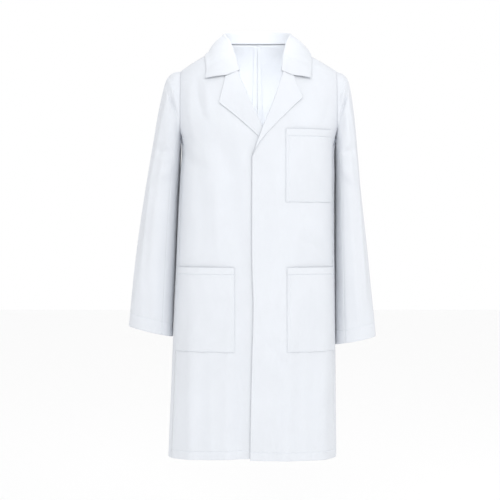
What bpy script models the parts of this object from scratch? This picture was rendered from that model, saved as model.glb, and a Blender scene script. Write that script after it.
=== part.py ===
"""Lab coat: knee-length, notched collar, concealed front fastening, three patch
pockets, set-in two-piece sleeves, centre back seam.

Frame: origin at the centre of the neck hole, level with the shoulder seams'
neck ends.  +X is the wearer's left, -Y is the coat's front, +Z is up.
All lengths are in metres.  Every piece of cloth is a closed solid of its own.
"""

import math

import bmesh
import bpy
import numpy as np

# ------------------------------------------------------------------ sizes
CLOTH = 0.0012            # thickness of a shell piece
TRIM_CLOTH = 0.0010       # thickness of facings, fly strip and pockets
SEAM_GAP = 0.0005         # half the space left between two pieces at a seam
SHOULDER_GAP = 0.006      # the same at the shoulder seam, as an angle
SIDE_RADIUS, BACK_RADIUS = 0.19, 0.12    # trunk's rough radii, to turn a gap into an angle

NECK_POINT_Z = 0.006             # height of the shoulder seam's neck end
NECK_BACK_Z = 0.0144             # height of the neckline at the centre back
ARMHOLE_X_L, ARMHOLE_X_R = 0.1965, 0.1915
ARMHOLE_BOTTOM = -0.2435
SIDE_SEAM_ANGLE = math.radians(76.0)     # measured round from the centre front
WAIST_CUT = -0.396               # the fronts are stiff below this height
WAIST_GAP = 0.0015
HEM_SIDE, HEM_LEFT_CF, HEM_RIGHT_CF, HEM_BACK = -1.0175, -1.0120, -1.0055, -1.0200

FRONT_EDGE_L = ([-0.276, -0.55, -0.63, -0.78, -1.03], [-0.0134, -0.0134, -0.0106, -0.0142, -0.0190])
FRONT_EDGE_R_OFFSET = 0.0465     # how far the right front runs under the left
BREAK_L, BREAK_R = -0.2763, -0.2620      # lowest point of each roll line
ROLL_L = ([0.006, -0.060, -0.1295, -0.2109, -0.2763], [0.0860, 0.0665, 0.0446, 0.0122, -0.0134])
ROLL_R = ([0.006, -0.0476, -0.1295, -0.2109, -0.2620], [-0.0860, -0.0602, -0.0251, 0.0122, 0.0331])
GORGE_Z = -0.070                 # where the collar's front end meets the roll line

LAYER_RIGHT_FACING = -0.0024     # heights of the layers over the right front
LAYER_FLY = 0.0052
LAYER_LEFT_FACING = 0.0074
LAYER_LEFT_FRONT = 0.0098
LAPEL_LIFT = 0.0026
LAPEL_RISE = 0.0015               # further lift at a lapel's free edge
FACING_INSET = 0.002             # from the front's edge to the facing's

BUTTON_R, BUTTON_T = 0.0075, 0.0024
BUTTON_SECTORS = 16
BUTTON_Z = (-0.312, -0.445, -0.560, -0.675, -0.790)
MOVING_BUTTONS = ("button_2", "button_3", "button_4", "button_5")
CENTRE_FRONT_X = 0.0085
FLY_WIDTH, FLY_BOTTOM = 0.042, -0.900
BUTTONHOLE_HALF, BUTTONHOLE_WIDE = 0.0095, 0.0016     # half its length, half its width
FACING_WIDTH = 0.066
POCKET_BULGE = 0.0105
POCKET_STANDOFF = 0.0014         # from the front to a pocket's sewn edges
POCKET_SIDE_GAP = 0.012          # from a lower pocket to the side seam, as an angle
CHEST_POCKET_Z = (-0.2100, -0.3870)
CHEST_POCKET_X = (0.0673, 0.1805)
HIP_POCKET_Z = (-0.5460, -0.7515)
HIP_POCKET_IN_L, HIP_POCKET_IN_R = 0.0705, -0.0560

SLEEVE_SEAM_GAP = 0.011          # between the sleeve's two parts, as an angle
SLEEVE_CUT_RING = 4              # ring at which the top sleeve's two parts meet
SLEEVE_CUT_SHARE = 0.018         # gap there, as a share of the distance to the next ring
SLEEVE_GAP = 0.0025              # from the armhole's plane to the sleeve's edge
SWING_Y, SWING_Z = 0.0095, -0.150        # the axis on which a sleeve swings
TOP_SLEEVE_FRONT, TOP_SLEEVE_BACK = math.radians(122), math.radians(112)


# ------------------------------------------------------------------ curves
def curve(at, knots, values):
    """Smooth curve through values at knots, for scalars or arrays."""
    k, v = np.asarray(knots, float), np.asarray(values, float)
    if k[0] > k[-1]:
        k, v = k[::-1], v[::-1]
    d = np.diff(v, axis=0) / np.diff(k).reshape((-1,) + (1,) * (v.ndim - 1))
    m = np.concatenate([d[:1], (d[1:] + d[:-1]) / 2, d[-1:]])
    x = np.clip(np.asarray(at, float), k[0], k[-1])
    i = np.clip(np.searchsorted(k, x, side="right") - 1, 0, len(k) - 2)
    h = (k[i + 1] - k[i])
    t = (x - k[i]) / h
    if v.ndim > 1:
        t, h = np.asarray(t)[..., None], np.asarray(h)[..., None]
    return ((2 * t**3 - 3 * t**2 + 1) * v[i] + (t**3 - 2 * t**2 + t) * h * m[i]
            + (3 * t**2 - 2 * t**3) * v[i + 1] + (t**3 - t**2) * h * m[i + 1])


def smooth(x):
    x = np.clip(x, 0.0, 1.0)
    return x * x * (3 - 2 * x)


# ------------------------------------------------------------------ trunk
Z_KNOTS = (0.05, 0.02, 0.006, -0.02, -0.045, -0.0585, -0.075, -0.10, -0.14, -0.19, -0.2435,
           -0.32, -0.42, -0.55, -0.75, -0.90, -1.04)
HALF_L = (0.070, 0.0795, 0.0860, 0.1306, 0.1735, 0.1945, 0.2075, 0.2150, 0.2165, 0.2105, 0.1940,
          0.1920, 0.1908, 0.1921, 0.1941, 0.1956, 0.1970)
HALF_R = (0.070, 0.0795, 0.0860, 0.1306, 0.1715, 0.1900, 0.2025, 0.2100, 0.2115, 0.2055, 0.1895,
          0.1930, 0.1980, 0.2033, 0.2116, 0.2177, 0.2235)
FRONT_DEPTH = (0.050, 0.058, 0.064, 0.078, 0.091, 0.098, 0.105, 0.114, 0.1235, 0.1315, 0.1350,
               0.1340, 0.1285, 0.1270, 0.1320, 0.1360, 0.1400)
BACK_DEPTH = (0.071, 0.0745, 0.0820, 0.0950, 0.1055, 0.1100, 0.1145, 0.1200, 0.1255, 0.1280, 0.1270,
              0.1220, 0.1150, 0.1160, 0.1220, 0.1260, 0.1300)
FULLNESS = (2.0, 2.0, 2.0, 2.05, 2.1, 2.12, 2.16, 2.22, 2.3, 2.38, 2.45,
            2.5, 2.5, 2.5, 2.5, 2.5, 2.5)


def trunk(angle, z):
    """Point on the trunk at an angle round from the centre front, at height z."""
    a, z = np.broadcast_arrays(np.asarray(angle, float), np.asarray(z, float))
    n = curve(z, Z_KNOTS, FULLNESS)
    half = np.where(a >= 0, curve(z, Z_KNOTS, HALF_L), curve(z, Z_KNOTS, HALF_R))
    deep = np.where(np.cos(a) >= 0, curve(z, Z_KNOTS, FRONT_DEPTH), curve(z, Z_KNOTS, BACK_DEPTH))
    r = ((np.abs(np.sin(a)) / half) ** n + (np.abs(np.cos(a)) / deep) ** n) ** (-1 / n)
    return np.stack([r * np.sin(a), -r * np.cos(a), z], -1)


def angle_of(x, z):
    """Angle at which the front reaches x at height z."""
    x, z = np.broadcast_arrays(np.asarray(x, float), np.asarray(z, float))
    n = curve(z, Z_KNOTS, FULLNESS)
    half = np.where(x >= 0, curve(z, Z_KNOTS, HALF_L), curve(z, Z_KNOTS, HALF_R))
    deep = curve(z, Z_KNOTS, FRONT_DEPTH)
    rest = np.clip(1 - (np.abs(x) / half) ** n, 0, 1) ** (1 / n)
    return np.arctan2(x, deep * rest)


def raised(angle, z, lift):
    """Trunk point moved out along the surface's normal."""
    e = 1e-4
    p = trunk(angle, z)
    across = trunk(np.asarray(angle) + e, z) - trunk(np.asarray(angle) - e, z)
    up = trunk(angle, np.asarray(z) + e) - trunk(angle, np.asarray(z) - e)
    n = np.cross(across, up)
    n /= np.maximum(np.linalg.norm(n, axis=-1, keepdims=True), 1e-12)
    return p + n * np.asarray(lift)[..., None]


def overlap_lift(x, z):
    """The left front rides over the right front's layers near the centre."""
    return LAYER_LEFT_FRONT * smooth((0.120 - x) / 0.070) * smooth((-0.095 - z) / 0.100)


def side_data(side):
    if side > 0:
        return ARMHOLE_X_L, HALF_L
    return ARMHOLE_X_R, HALF_R


def armhole_end(side, low, high, rising):
    """Height between low and high at which the trunk is as wide as the armhole's plane."""
    x, half = side_data(side)
    for _ in range(40):
        middle = (low + high) / 2
        if (float(curve(middle, Z_KNOTS, half)) > x) == rising:
            high = middle
        else:
            low = middle
    return (low + high) / 2


def armhole_top(side):
    return armhole_end(side, -0.12, 0.0, False)


def armhole_low(side):
    return armhole_end(side, -0.26, -0.15, True)


def armhole_angle(z, side, back):
    x, half_knots = side_data(side)
    n = curve(z, Z_KNOTS, FULLNESS)
    half = np.maximum(curve(z, Z_KNOTS, half_knots), x)
    deep = curve(z, Z_KNOTS, BACK_DEPTH if back else FRONT_DEPTH)
    a = np.arctan2(x, deep * (1 - (x / half) ** n) ** (1 / n))
    return math.pi - a if back else a


# ------------------------------------------------------------------ solids
def material(name, colour, roughness):
    found = bpy.data.materials.get(name)
    if found:
        return found
    made = bpy.data.materials.new(name)
    made.use_nodes = True
    shader = made.node_tree.nodes["Principled BSDF"]
    shader.inputs["Base Color"].default_value = (*colour, 1.0)
    shader.inputs["Roughness"].default_value = roughness
    shader.inputs["Metallic"].default_value = 0.0
    return made


def pivot_of(name):
    """Point on the joint's axis for a piece that moves, the neck's centre otherwise."""
    side = -1 if name.startswith("right") or name in MOVING_BUTTONS else 1
    if "sleeve" in name:
        return np.array((side * (ARMHOLE_X_L if side > 0 else ARMHOLE_X_R) + side * SLEEVE_GAP,
                         SWING_Y, SWING_Z))
    if name.endswith(("_skirt", "_lower", "left_pocket", "right_pocket")) or name in MOVING_BUTTONS:
        seam = trunk(side * SIDE_SEAM_ANGLE, np.array((WAIST_CUT, HEM_SIDE)))
        return seam.mean(axis=0)
    return np.zeros(3)


def add_object(name, verts, faces):
    place = pivot_of(name)
    mesh = bpy.data.meshes.new(name)
    mesh.from_pydata([tuple(v) for v in np.asarray(verts) - place], [], faces)
    work = bmesh.new()
    work.from_mesh(mesh)
    bmesh.ops.recalc_face_normals(work, faces=work.faces)
    bmesh.ops.triangulate(work, faces=work.faces)
    work.to_mesh(mesh)
    work.free()
    obj = bpy.data.objects.new(name, mesh)
    obj.location = place
    bpy.context.scene.collection.objects.link(obj)
    if name.startswith("button"):
        mesh.materials.append(material("button_plastic", (0.90, 0.90, 0.88), 0.3))
    else:
        mesh.materials.append(material("white_twill", (0.86, 0.89, 0.93), 0.85))
    return obj


def slab(name, outer, inner, keep=None, ring=False):
    """Closed solid between two matching grids of points.

    outer and inner are (rows, columns, 3).  Seen from outside, rows run down
    and columns run to the wearer's left.  keep says which cells are cloth;
    ring joins the last column to the first.
    """
    rows, cols = outer.shape[:2]
    wide = cols if ring else cols - 1
    keep = np.ones((rows - 1, wide), bool) if keep is None else keep
    used = np.zeros((rows, cols), bool)
    cells = []
    for r in range(rows - 1):
        for c in range(wide):
            if keep[r, c]:
                d = (c + 1) % cols
                cells.append(((r, c), (r + 1, c), (r + 1, d), (r, d)))
                for q in cells[-1]:
                    used[q] = True
    index = -np.ones((rows, cols), int)
    index[used] = np.arange(used.sum())
    verts = np.concatenate([outer[used], inner[used]])
    back = int(used.sum())
    faces, edges = [], {}
    for cell in cells:
        f = [int(index[q]) for q in cell]
        faces.append(tuple(f))
        faces.append(tuple(i + back for i in reversed(f)))
        for i in range(4):
            a, b = f[i], f[(i + 1) % 4]
            edges[(a, b)] = True
    for a, b in edges:
        if (b, a) not in edges:
            faces.append((b, a, a + back, b + back))
    return add_object(name, verts, faces)


def shell(name, angle, z, lift, thickness, keep=None):
    """Cloth lying on the trunk: grids of angle, height and lift of its middle."""
    lift = np.broadcast_to(np.asarray(lift, float), np.shape(angle))
    return slab(name, raised(angle, z, lift + thickness / 2),
                raised(angle, z, lift - thickness / 2), keep)


def rows_between(a_angle, a_z, b_angle, b_z, cols):
    s = np.asarray(cols)[None, :]
    angle = np.asarray(a_angle)[:, None] * (1 - s) + np.asarray(b_angle)[:, None] * s
    z = np.asarray(a_z)[:, None] * (1 - s) + np.asarray(b_z)[:, None] * s
    return angle, z


# ------------------------------------------------------------------ fronts
# heights of the rows of cloth, at the front edge and at the armhole
CHEST_A = (0.006, -0.030, -0.056, -0.085, -0.115, -0.145, -0.178, -0.211, -0.245, -0.2763,
           -0.316, -0.356)
CHEST_C = (None, -0.072, -0.092, -0.116, -0.140, -0.166, -0.192, -0.216, ARMHOLE_BOTTOM, -0.2763,
           -0.316, -0.356)
SKIRT_Z = (-0.435, -0.485, -0.5460, -0.600, -0.655, -0.710, -0.7515, -0.815, -0.880, -0.950)


def front_edge_x(z, side):
    z = np.asarray(z, float)
    edge = curve(z, *FRONT_EDGE_L)
    if side > 0:
        return np.where(z > BREAK_L, curve(z, *ROLL_L), edge)
    return np.where(z > BREAK_R, curve(z, *ROLL_R), edge + FRONT_EDGE_R_OFFSET)


def side_angle(z, side):
    """The front's outer edge: the armhole, then the side seam."""
    a = armhole_angle(z, side, False)
    return np.where(z > ARMHOLE_BOTTOM, np.where(z < -0.20, np.minimum(a, SIDE_SEAM_ANGLE), a),
                    SIDE_SEAM_ANGLE)


def front_grid(side, a_z, c_z, columns):
    a_z, c_z = np.array(a_z, float), np.array(c_z, float)
    a = angle_of(front_edge_x(a_z, side), a_z)
    a[a_z > 0.0059] = side * math.pi / 2
    c = side * (side_angle(c_z, side) - SEAM_GAP / SIDE_RADIUS)
    if c_z[0] > -0.07:
        c[0] = side * math.pi / 2
    return rows_between(a, a_z, c, c_z, columns)


def oriented(side, *grids):
    """Columns must run towards +X seen from the front."""
    return [g if side > 0 else g[:, ::-1] for g in grids]


def front_lift(side, angle, z, layer=0.0):
    if side < 0:
        return np.full(np.shape(angle), layer)
    x = trunk(angle, z)[..., 0]
    return overlap_lift(x, z) + layer * np.ones(np.shape(x))


def make_front(side, name):
    """Chest part and skirt part of one front."""
    top = armhole_top(side)
    cols = np.linspace(0, 1, 8)
    cut = WAIST_CUT + WAIST_GAP / 2
    c_z = [top] + list(CHEST_C[1:]) + [cut]
    a_z = list(CHEST_A) + [cut]
    angle, z = front_grid(side, a_z, c_z, cols)
    # a sewing gap below the shoulder seam
    angle[0] -= side * SHOULDER_GAP
    angle, z = oriented(side, angle, z)
    shell(name + "_front_chest", angle, z, front_lift(side, angle, z), CLOTH)
    low = WAIST_CUT - WAIST_GAP / 2
    cf_hem = HEM_LEFT_CF if side > 0 else HEM_RIGHT_CF
    angle, z = front_grid(side, (low,) + SKIRT_Z + (cf_hem,), (low,) + SKIRT_Z + (HEM_SIDE,), cols)
    angle, z = oriented(side, angle, z)
    shell(name + "_front_skirt", angle, z, front_lift(side, angle, z), CLOTH)


def make_facing(side, name):
    """Band of cloth turned in behind the front's edge."""
    layer = LAYER_LEFT_FACING - LAYER_LEFT_FRONT if side > 0 else LAYER_RIGHT_FACING
    hem = (HEM_LEFT_CF if side > 0 else HEM_RIGHT_CF) + FACING_INSET
    for part, heights in (("_facing_upper", CHEST_A[3:] + (WAIST_CUT + WAIST_GAP / 2,)),
                          ("_facing_lower", (WAIST_CUT - WAIST_GAP / 2,) + SKIRT_Z + (hem,))):
        zs = np.array(heights)
        x = front_edge_x(zs, side) + side * FACING_INSET
        angle, z = rows_between(angle_of(x, zs), zs, angle_of(x + side * FACING_WIDTH, zs), zs,
                                np.linspace(0, 1, 3))
        angle, z = oriented(side, angle, z)
        shell(name + part, angle, z, front_lift(side, angle, z, layer), TRIM_CLOTH)


def make_fly():
    """Hidden strip with the buttonholes, under the left front's edge."""
    half, slot = BUTTONHOLE_HALF, BUTTONHOLE_WIDE
    for name, z0, z1 in (("fly_strip_upper", BREAK_L - 0.008, WAIST_CUT + WAIST_GAP / 2),
                         ("fly_strip_lower", WAIST_CUT - WAIST_GAP / 2, FLY_BOTTOM)):
        holes = [b for b in BUTTON_Z if z1 + half < b < z0 - half]
        rows = sorted({round(v, 5) for v in [z0, z1] + [b + half for b in holes]
                       + [b - half for b in holes]
                       + [q for q in SKIRT_Z if z1 < q < z0
                          and all(abs(q - b) > half + 0.006 for b in holes)]}, reverse=True)
        zs = np.array(rows)
        x0 = front_edge_x(zs, 1) + 0.004
        xs = np.stack([x0, np.full_like(x0, CENTRE_FRONT_X - slot), np.full_like(x0, CENTRE_FRONT_X + slot),
                       x0 + FLY_WIDTH], 1)
        keep = np.ones((len(zs) - 1, 3), bool)
        for r in range(len(zs) - 1):
            if any(abs((zs[r] + zs[r + 1]) / 2 - b) < 1e-4 for b in holes):
                keep[r, 1] = False
        z = np.repeat(zs[:, None], 4, 1)
        lift = overlap_lift(xs, z) - (LAYER_LEFT_FRONT - LAYER_FLY)
        shell(name, angle_of(xs, z), z, lift, TRIM_CLOTH, keep)


def make_button(name, z0):
    """Four-hole button lying on the right front, behind the fly strip."""
    centre = raised(angle_of(CENTRE_FRONT_X, z0), z0, CLOTH / 2 + 0.0003)
    up = raised(angle_of(CENTRE_FRONT_X, z0), z0 + 0.005, 0.0) - raised(
        angle_of(CENTRE_FRONT_X, z0), z0 - 0.005, 0.0)
    up /= np.linalg.norm(up)
    out = raised(angle_of(CENTRE_FRONT_X, z0), z0, 1.0) - raised(angle_of(CENTRE_FRONT_X, z0), z0, 0.0)
    out -= up * out.dot(up)
    out /= np.linalg.norm(out)
    right = np.cross(up, out)
    radii = (BUTTON_R, BUTTON_R * 0.78, 0.0031, 0.0014)
    height = (BUTTON_T * 0.75, BUTTON_T, BUTTON_T * 0.72, BUTTON_T * 0.72)
    turn = np.arange(BUTTON_SECTORS) / BUTTON_SECTORS * 2 * math.pi
    outer, inner = [], []
    for r, h in zip(radii, height):
        flat = (centre + r * (np.cos(turn)[:, None] * right + np.sin(turn)[:, None] * up))
        outer.append(flat + out * h)
        inner.append(flat)
    outer, inner = np.array(outer), np.array(inner)
    verts = np.concatenate([outer.reshape(-1, 3), inner.reshape(-1, 3)])
    n, last = BUTTON_SECTORS, len(radii) - 1
    faces, base = [], n * len(radii)         # base is the first point of the underside
    for r in range(last):
        for c in range(n):
            d = (c + 1) % n
            q = (r * n + c, r * n + d, r * n + n + d, r * n + n + c)
            if r == last - 1 and c % 4 == 1:
                # a sewing hole goes right through
                faces += [(a + base, b + base, b, a) for a, b in zip(q, q[1:] + q[:1])]
                continue
            faces += [q, tuple(i + base for i in reversed(q))]
    for c in range(n):
        d = (c + 1) % n
        faces.append((d, c, c + base, d + base))
    faces.append(tuple(last * n + c for c in range(n)))
    faces.append(tuple(base + last * n + c for c in reversed(range(n))))
    return add_object(name, verts, faces)


# ------------------------------------------------------------------ lapels
# x and z of the free edges, from the gorge round the point and down to the break
LAPEL_L = ((0.0868, -0.0757), (0.0975, -0.1035), (0.1090, -0.1330), (0.0870, -0.1540),
           (0.0650, -0.1760), (0.0430, -0.1985), (0.0210, -0.2215), (0.0040, -0.2440),
           (-0.0050, -0.2610))
LAPEL_R = ((-0.0787, -0.0804), (-0.0862, -0.1130), (-0.0939, -0.1460), (-0.0740, -0.1620),
           (-0.0530, -0.1790), (-0.0310, -0.1980), (-0.0080, -0.2190), (0.0110, -0.2365),
           (0.0200, -0.2450))


def make_lapel(side, name):
    edge = np.array(LAPEL_L if side > 0 else LAPEL_R)
    roll_z = np.linspace(GORGE_Z - 0.002, (BREAK_L if side > 0 else BREAK_R) + 0.012, len(edge))
    roll_x = front_edge_x(roll_z, side)
    s = np.linspace(0, 1, 5)[None, :]
    x = roll_x[:, None] * (1 - s) + edge[:, :1] * s
    z = roll_z[:, None] * (1 - s) + edge[:, 1:] * s
    angle, z, s = oriented(side, angle_of(x, z), z, np.broadcast_to(s, x.shape))
    lift = front_lift(side, angle, z, LAPEL_LIFT) + LAPEL_RISE * s ** 2
    shell(name + "_lapel", angle, z, lift, CLOTH)


# ------------------------------------------------------------------ back
def make_back(side, name):
    """Half the back, from the centre back seam round to the side seam."""
    top_s = np.array([0.0, 0.14, 0.27, 0.38, 0.46, 0.64, 0.82, 1.0])
    neck = 0.46
    tip = armhole_top(side)
    t_z = np.where(top_s <= neck, NECK_BACK_Z + (NECK_POINT_Z - NECK_BACK_Z) * (top_s / neck) ** 2,
                   NECK_POINT_Z + (tip - NECK_POINT_Z) * (top_s - neck) / (1 - neck))
    b_z = np.array([tip, -0.075, -0.095, -0.118, -0.143, -0.170, -0.197, -0.224, ARMHOLE_BOTTOM + 0.0005,
                    ARMHOLE_BOTTOM - 0.003, -0.300, -0.350, -0.396] + list(SKIRT_Z) + [HEM_SIDE])
    a = armhole_angle(b_z, side, True)
    b_angle = np.where(b_z > ARMHOLE_BOTTOM, a, SIDE_SEAM_ANGLE + SEAM_GAP / SIDE_RADIUS)
    b_angle[0] = math.pi / 2 + SHOULDER_GAP
    a_z = np.array([NECK_BACK_Z, -0.022, -0.050, -0.080, -0.110, -0.142, -0.175, -0.208, -0.240,
                    -0.270, -0.310, -0.353, -0.396] + list(SKIRT_Z) + [HEM_BACK])
    # the neck corner's pull on the columns fades out down the shoulder blades
    fade = np.zeros((len(a_z), 1))
    fade[:7, 0] = (1.0, 0.72, 0.50, 0.34, 0.20, 0.10, 0.04)
    s = top_s[None, :]
    corner = np.minimum(s / neck, 1.0)
    share = s + (corner - s) * fade
    angle = math.pi * (1 - share) + b_angle[:, None] * share
    z = a_z[:, None] * (1 - s) + b_z[:, None] * s
    z += (t_z[None, :] - z[:1]) * fade
    angle = side * angle
    angle[:, 0] = side * (math.pi - SEAM_GAP / BACK_RADIUS)
    # seen from behind, +X is on the left
    grids = (angle, z) if side < 0 else (angle[:, ::-1], z[:, ::-1])
    shell(name + "_back", grids[0], grids[1], 0.0, CLOTH)


# ------------------------------------------------------------------ pockets
def make_pocket(name, side, x_in, x_out, z_top, z_bottom):
    rows, cols = 7, 8
    zs = np.linspace(z_top, z_bottom, rows)
    s = np.linspace(0, 1, cols)[None, :]
    a_in = angle_of(x_in, zs)
    if x_out is None:
        a_out = np.full(rows, side * (SIDE_SEAM_ANGLE - POCKET_SIDE_GAP))
    else:
        a_out = angle_of(x_out, zs)
    angle = a_in[:, None] * (1 - s) + a_out[:, None] * s
    z = np.repeat(zs[:, None], cols, 1)
    up = np.linspace(1, 0, rows)[:, None]
    full = (np.clip(4 * s * (1 - s), 0, 1) ** 0.6) * (np.clip(up / 0.3, 0, 1) ** 0.8)
    angle, z, full = oriented(side, angle, z, np.broadcast_to(full, angle.shape))
    lift = front_lift(side, angle, z, CLOTH / 2 + TRIM_CLOTH / 2 + POCKET_STANDOFF) + POCKET_BULGE * full
    shell(name, angle, z, lift, TRIM_CLOTH)


# ------------------------------------------------------------------ collar
# free edge of the fall, from the centre back round to the front end
COLLAR_EDGE = ((0.0, 0.1060, 0.0020), (0.046, 0.1000, 0.0000), (0.092, 0.0740, -0.0050),
               (0.1240, 0.0260, -0.0110), (0.1325, -0.0200, -0.0180), (0.1335, -0.0560, -0.0360),
               (0.1315, -0.0810, -0.0600), (0.1300, -0.0985, -0.0840))
COLLAR_ROLL = 0.0032             # radius of the fold at the top of the stand
COLLAR_FOOT = 0.0022             # from the neckline up to the stand's lower edge
COLLAR_CLEAR = 0.0060            # from the shoulders to the fall
COLLAR_LAYER = 0.0009            # half the distance between the two collars' middles
COLLAR_CLOTH = 0.0010


def mirrored_curve(points, count):
    """Even run through control points and their mirror image, from -X to +X."""
    p = np.array(points)
    q = np.concatenate([(p * (-1, 1, 1))[:0:-1], p])
    steps = np.linspace(-(len(p) - 1), len(p) - 1, count)
    return curve(steps, np.arange(-(len(p) - 1), len(p)), q)


def clear_of_trunk(p, gap):
    """Push points out, level, until they clear the trunk by gap."""
    x, y, z = p[..., 0], p[..., 1], p[..., 2]
    a = np.arctan2(x, -y)
    s = trunk(a, z)
    r_s, r = np.hypot(s[..., 0], s[..., 1]), np.hypot(x, y)
    k = np.maximum(1.0, (r_s + gap) / np.maximum(r, 1e-9))
    return np.stack([x * k, y * k, z], -1)


def neckline(count):
    """Points of the collar's seam from -X round the back to +X, with frames."""
    s = np.linspace(-1, 1, count)
    u, side = np.abs(s), np.where(s < 0, -1, 1)
    back = np.clip(u / 0.5, 0, 1)
    front = np.clip((u - 0.5) / 0.5, 0, 1)
    z = np.where(u <= 0.5, NECK_BACK_Z + (NECK_POINT_Z - NECK_BACK_Z) * back ** 2,
                 NECK_POINT_Z + (GORGE_Z - NECK_POINT_Z) * front)
    x_front = np.where(side > 0, curve(z, *ROLL_L), curve(z, *ROLL_R))
    angle = np.where(u <= 0.5, side * (math.pi - math.pi / 2 * back), angle_of(x_front, z))
    base = trunk(angle, z)
    out = raised(angle, z, 1.0) - base
    along = np.gradient(base, axis=0)
    along /= np.linalg.norm(along, axis=1, keepdims=True)
    rise = np.cross(out, along)
    rise /= np.linalg.norm(rise, axis=1, keepdims=True)
    rise *= np.where((rise * (base * (-1, -1, 0) + (0, 0, 0.08))).sum(1) < 0, -1, 1)[:, None]
    upright = (0.85 * (1 - smooth((u - 0.35) / 0.6)))[:, None]
    rise = rise * (1 - upright) + np.array((0, 0, 1.0)) * upright
    rise /= np.linalg.norm(rise, axis=1, keepdims=True)
    out -= rise * (out * rise).sum(1, keepdims=True)
    out /= np.linalg.norm(out, axis=1, keepdims=True)
    return u, base, rise, out


def make_collar():
    count, r = 25, COLLAR_ROLL
    u, base, rise, out = neckline(count)
    edge = mirrored_curve(COLLAR_EDGE, count)
    stand = curve(u, (0, 0.25, 0.5, 0.75, 1.0), (0.0300, 0.0290, 0.0240, 0.0130, 0.0040))[:, None]
    low = base + rise * COLLAR_FOOT
    fold = low + rise * stand
    inner = fold - rise * r
    rows = [low, (low + inner) / 2, inner, fold - rise * 0.3 * r + out * 0.3 * r, fold + out * r,
            fold - rise * 0.3 * r + out * 1.7 * r, fold - rise * r + out * 2 * r]
    outer = rows[-1]
    for f in (0.25, 0.5, 0.75, 1.0):
        p = outer * (1 - f) + edge * f + out * 0.005 * 4 * f * (1 - f)
        rows.append(clear_of_trunk(p, COLLAR_CLEAR))
    grid = np.stack(rows)[:, ::-1]
    down, across = np.gradient(grid, axis=0), np.gradient(grid, axis=1)
    n = np.cross(down, across)
    n /= np.linalg.norm(n, axis=-1, keepdims=True)
    for name, lift in (("under_collar", -COLLAR_LAYER), ("upper_collar", COLLAR_LAYER)):
        slab(name, grid + n * (lift + COLLAR_CLOTH / 2), grid + n * (lift - COLLAR_CLOTH / 2))


# ------------------------------------------------------------------ sleeves
# each ring: outer x, outer z, inner x, inner z
SLEEVE_L = (
    (0.1990, None, 0.1990, None), (0.2155, -0.0680, 0.1998, -0.2485),
    (0.2270, -0.0860, 0.2002, -0.2550), (0.2340, -0.1200, 0.2003, -0.2650),
    (0.2420, -0.1750, 0.2003, -0.2830), (0.2490, -0.2450, 0.2003, -0.3150),
    (0.2570, -0.3300, 0.2003, -0.3720), (0.2665, -0.4250, 0.2003, -0.4550),
    (0.2765, -0.5200, 0.2003, -0.5480), (0.2865, -0.6200, 0.2003, -0.6450),
    (0.2965, -0.7200, 0.2003, -0.7410))
SLEEVE_R = (
    (0.1940, None, 0.1940, None), (0.2120, -0.0640, 0.1948, -0.2485),
    (0.2275, -0.0820, 0.1953, -0.2550), (0.2370, -0.1150, 0.1958, -0.2650),
    (0.2495, -0.1720, 0.1968, -0.2830), (0.2620, -0.2420, 0.1985, -0.3150),
    (0.2760, -0.3250, 0.2014, -0.3700), (0.2900, -0.4150, 0.2050, -0.4480),
    (0.3020, -0.5050, 0.2087, -0.5350), (0.3130, -0.6000, 0.2126, -0.6280),
    (0.3225, -0.6950, 0.2165, -0.7215))
SLEEVE_DEPTH = (0.0700, 0.0720, 0.0765, 0.0800, 0.0828, 0.0835, 0.0815, 0.0765, 0.0690, 0.0580, 0.0475)
SLEEVE_MIDDLE = (0.0, 0.0050, 0.0060, 0.0080, 0.0110, 0.0145, 0.0170, 0.0165, 0.0145, 0.0110, 0.0080)


def sleeve_ring(side, k, turn, grow):
    """Points round ring k; turn 0 is the outer (top) side, + goes to the front."""
    table = SLEEVE_L if side > 0 else SLEEVE_R
    top, bottom = armhole_top(side), armhole_low(side)
    ox, oz, ix, iz = table[k]
    oz = top if oz is None else oz
    iz = bottom if iz is None else iz
    u, v = np.cos(turn), np.sin(turn)
    # the armhole's own outline
    h_z = (top + bottom) / 2 + (top - bottom) / 2 * u
    x0, half_knots = side_data(side)
    n = curve(h_z, Z_KNOTS, FULLNESS)
    half = np.maximum(curve(h_z, Z_KNOTS, half_knots), x0)
    rest = (1 - (x0 / half) ** n) ** (1 / n)
    hole_y = np.where(v >= 0, -curve(h_z, Z_KNOTS, FRONT_DEPTH), curve(h_z, Z_KNOTS, BACK_DEPTH)) * rest
    depth, middle = SLEEVE_DEPTH[k], SLEEVE_MIDDLE[k]
    full_y = middle - depth * np.sign(v) * np.abs(v) ** 0.9
    share = float(smooth(k / 4.0))
    y = hole_y * (1 - share) + full_y * share
    out = np.array((ox - ix, 0, oz - iz))
    half_out = np.linalg.norm(out) / 2
    out /= 2 * half_out
    p = (np.array((ix + ox, 0, iz + oz)) / 2 + (half_out + grow) * u[:, None] * out)
    p[:, 1] = y + grow * np.sign(y - middle) * np.abs(v)
    p[:, 0] *= side
    return p


def make_sleeve(side, name):
    """Top sleeve in an upper and a lower part, and the under sleeve."""
    gap = SLEEVE_SEAM_GAP / 2
    front, back = TOP_SLEEVE_FRONT, TOP_SLEEVE_BACK
    last, cut = len(SLEEVE_L) - 1, SLEEVE_CUT_RING
    top = np.linspace(-back + gap, front - gap, 12)
    under = np.linspace(front + gap, 2 * math.pi - back - gap, 7)
    for suffix, turn, start, end in (("_top_sleeve_upper", top, 0, cut),
                                     ("_top_sleeve_lower", top, cut, last),
                                     ("_under_sleeve", under, 0, last)):
        shells = []
        for grow in (0.0, -CLOTH):
            rings = np.array([sleeve_ring(side, k, turn, grow) for k in range(start, end + 1)])
            if start == cut:
                # leave a fine gap below the upper part
                rings[0] += (rings[1] - rings[0]) * SLEEVE_CUT_SHARE
            shells.append(rings[:, ::-1] if side > 0 else rings)
        slab(name + suffix, *shells)


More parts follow.
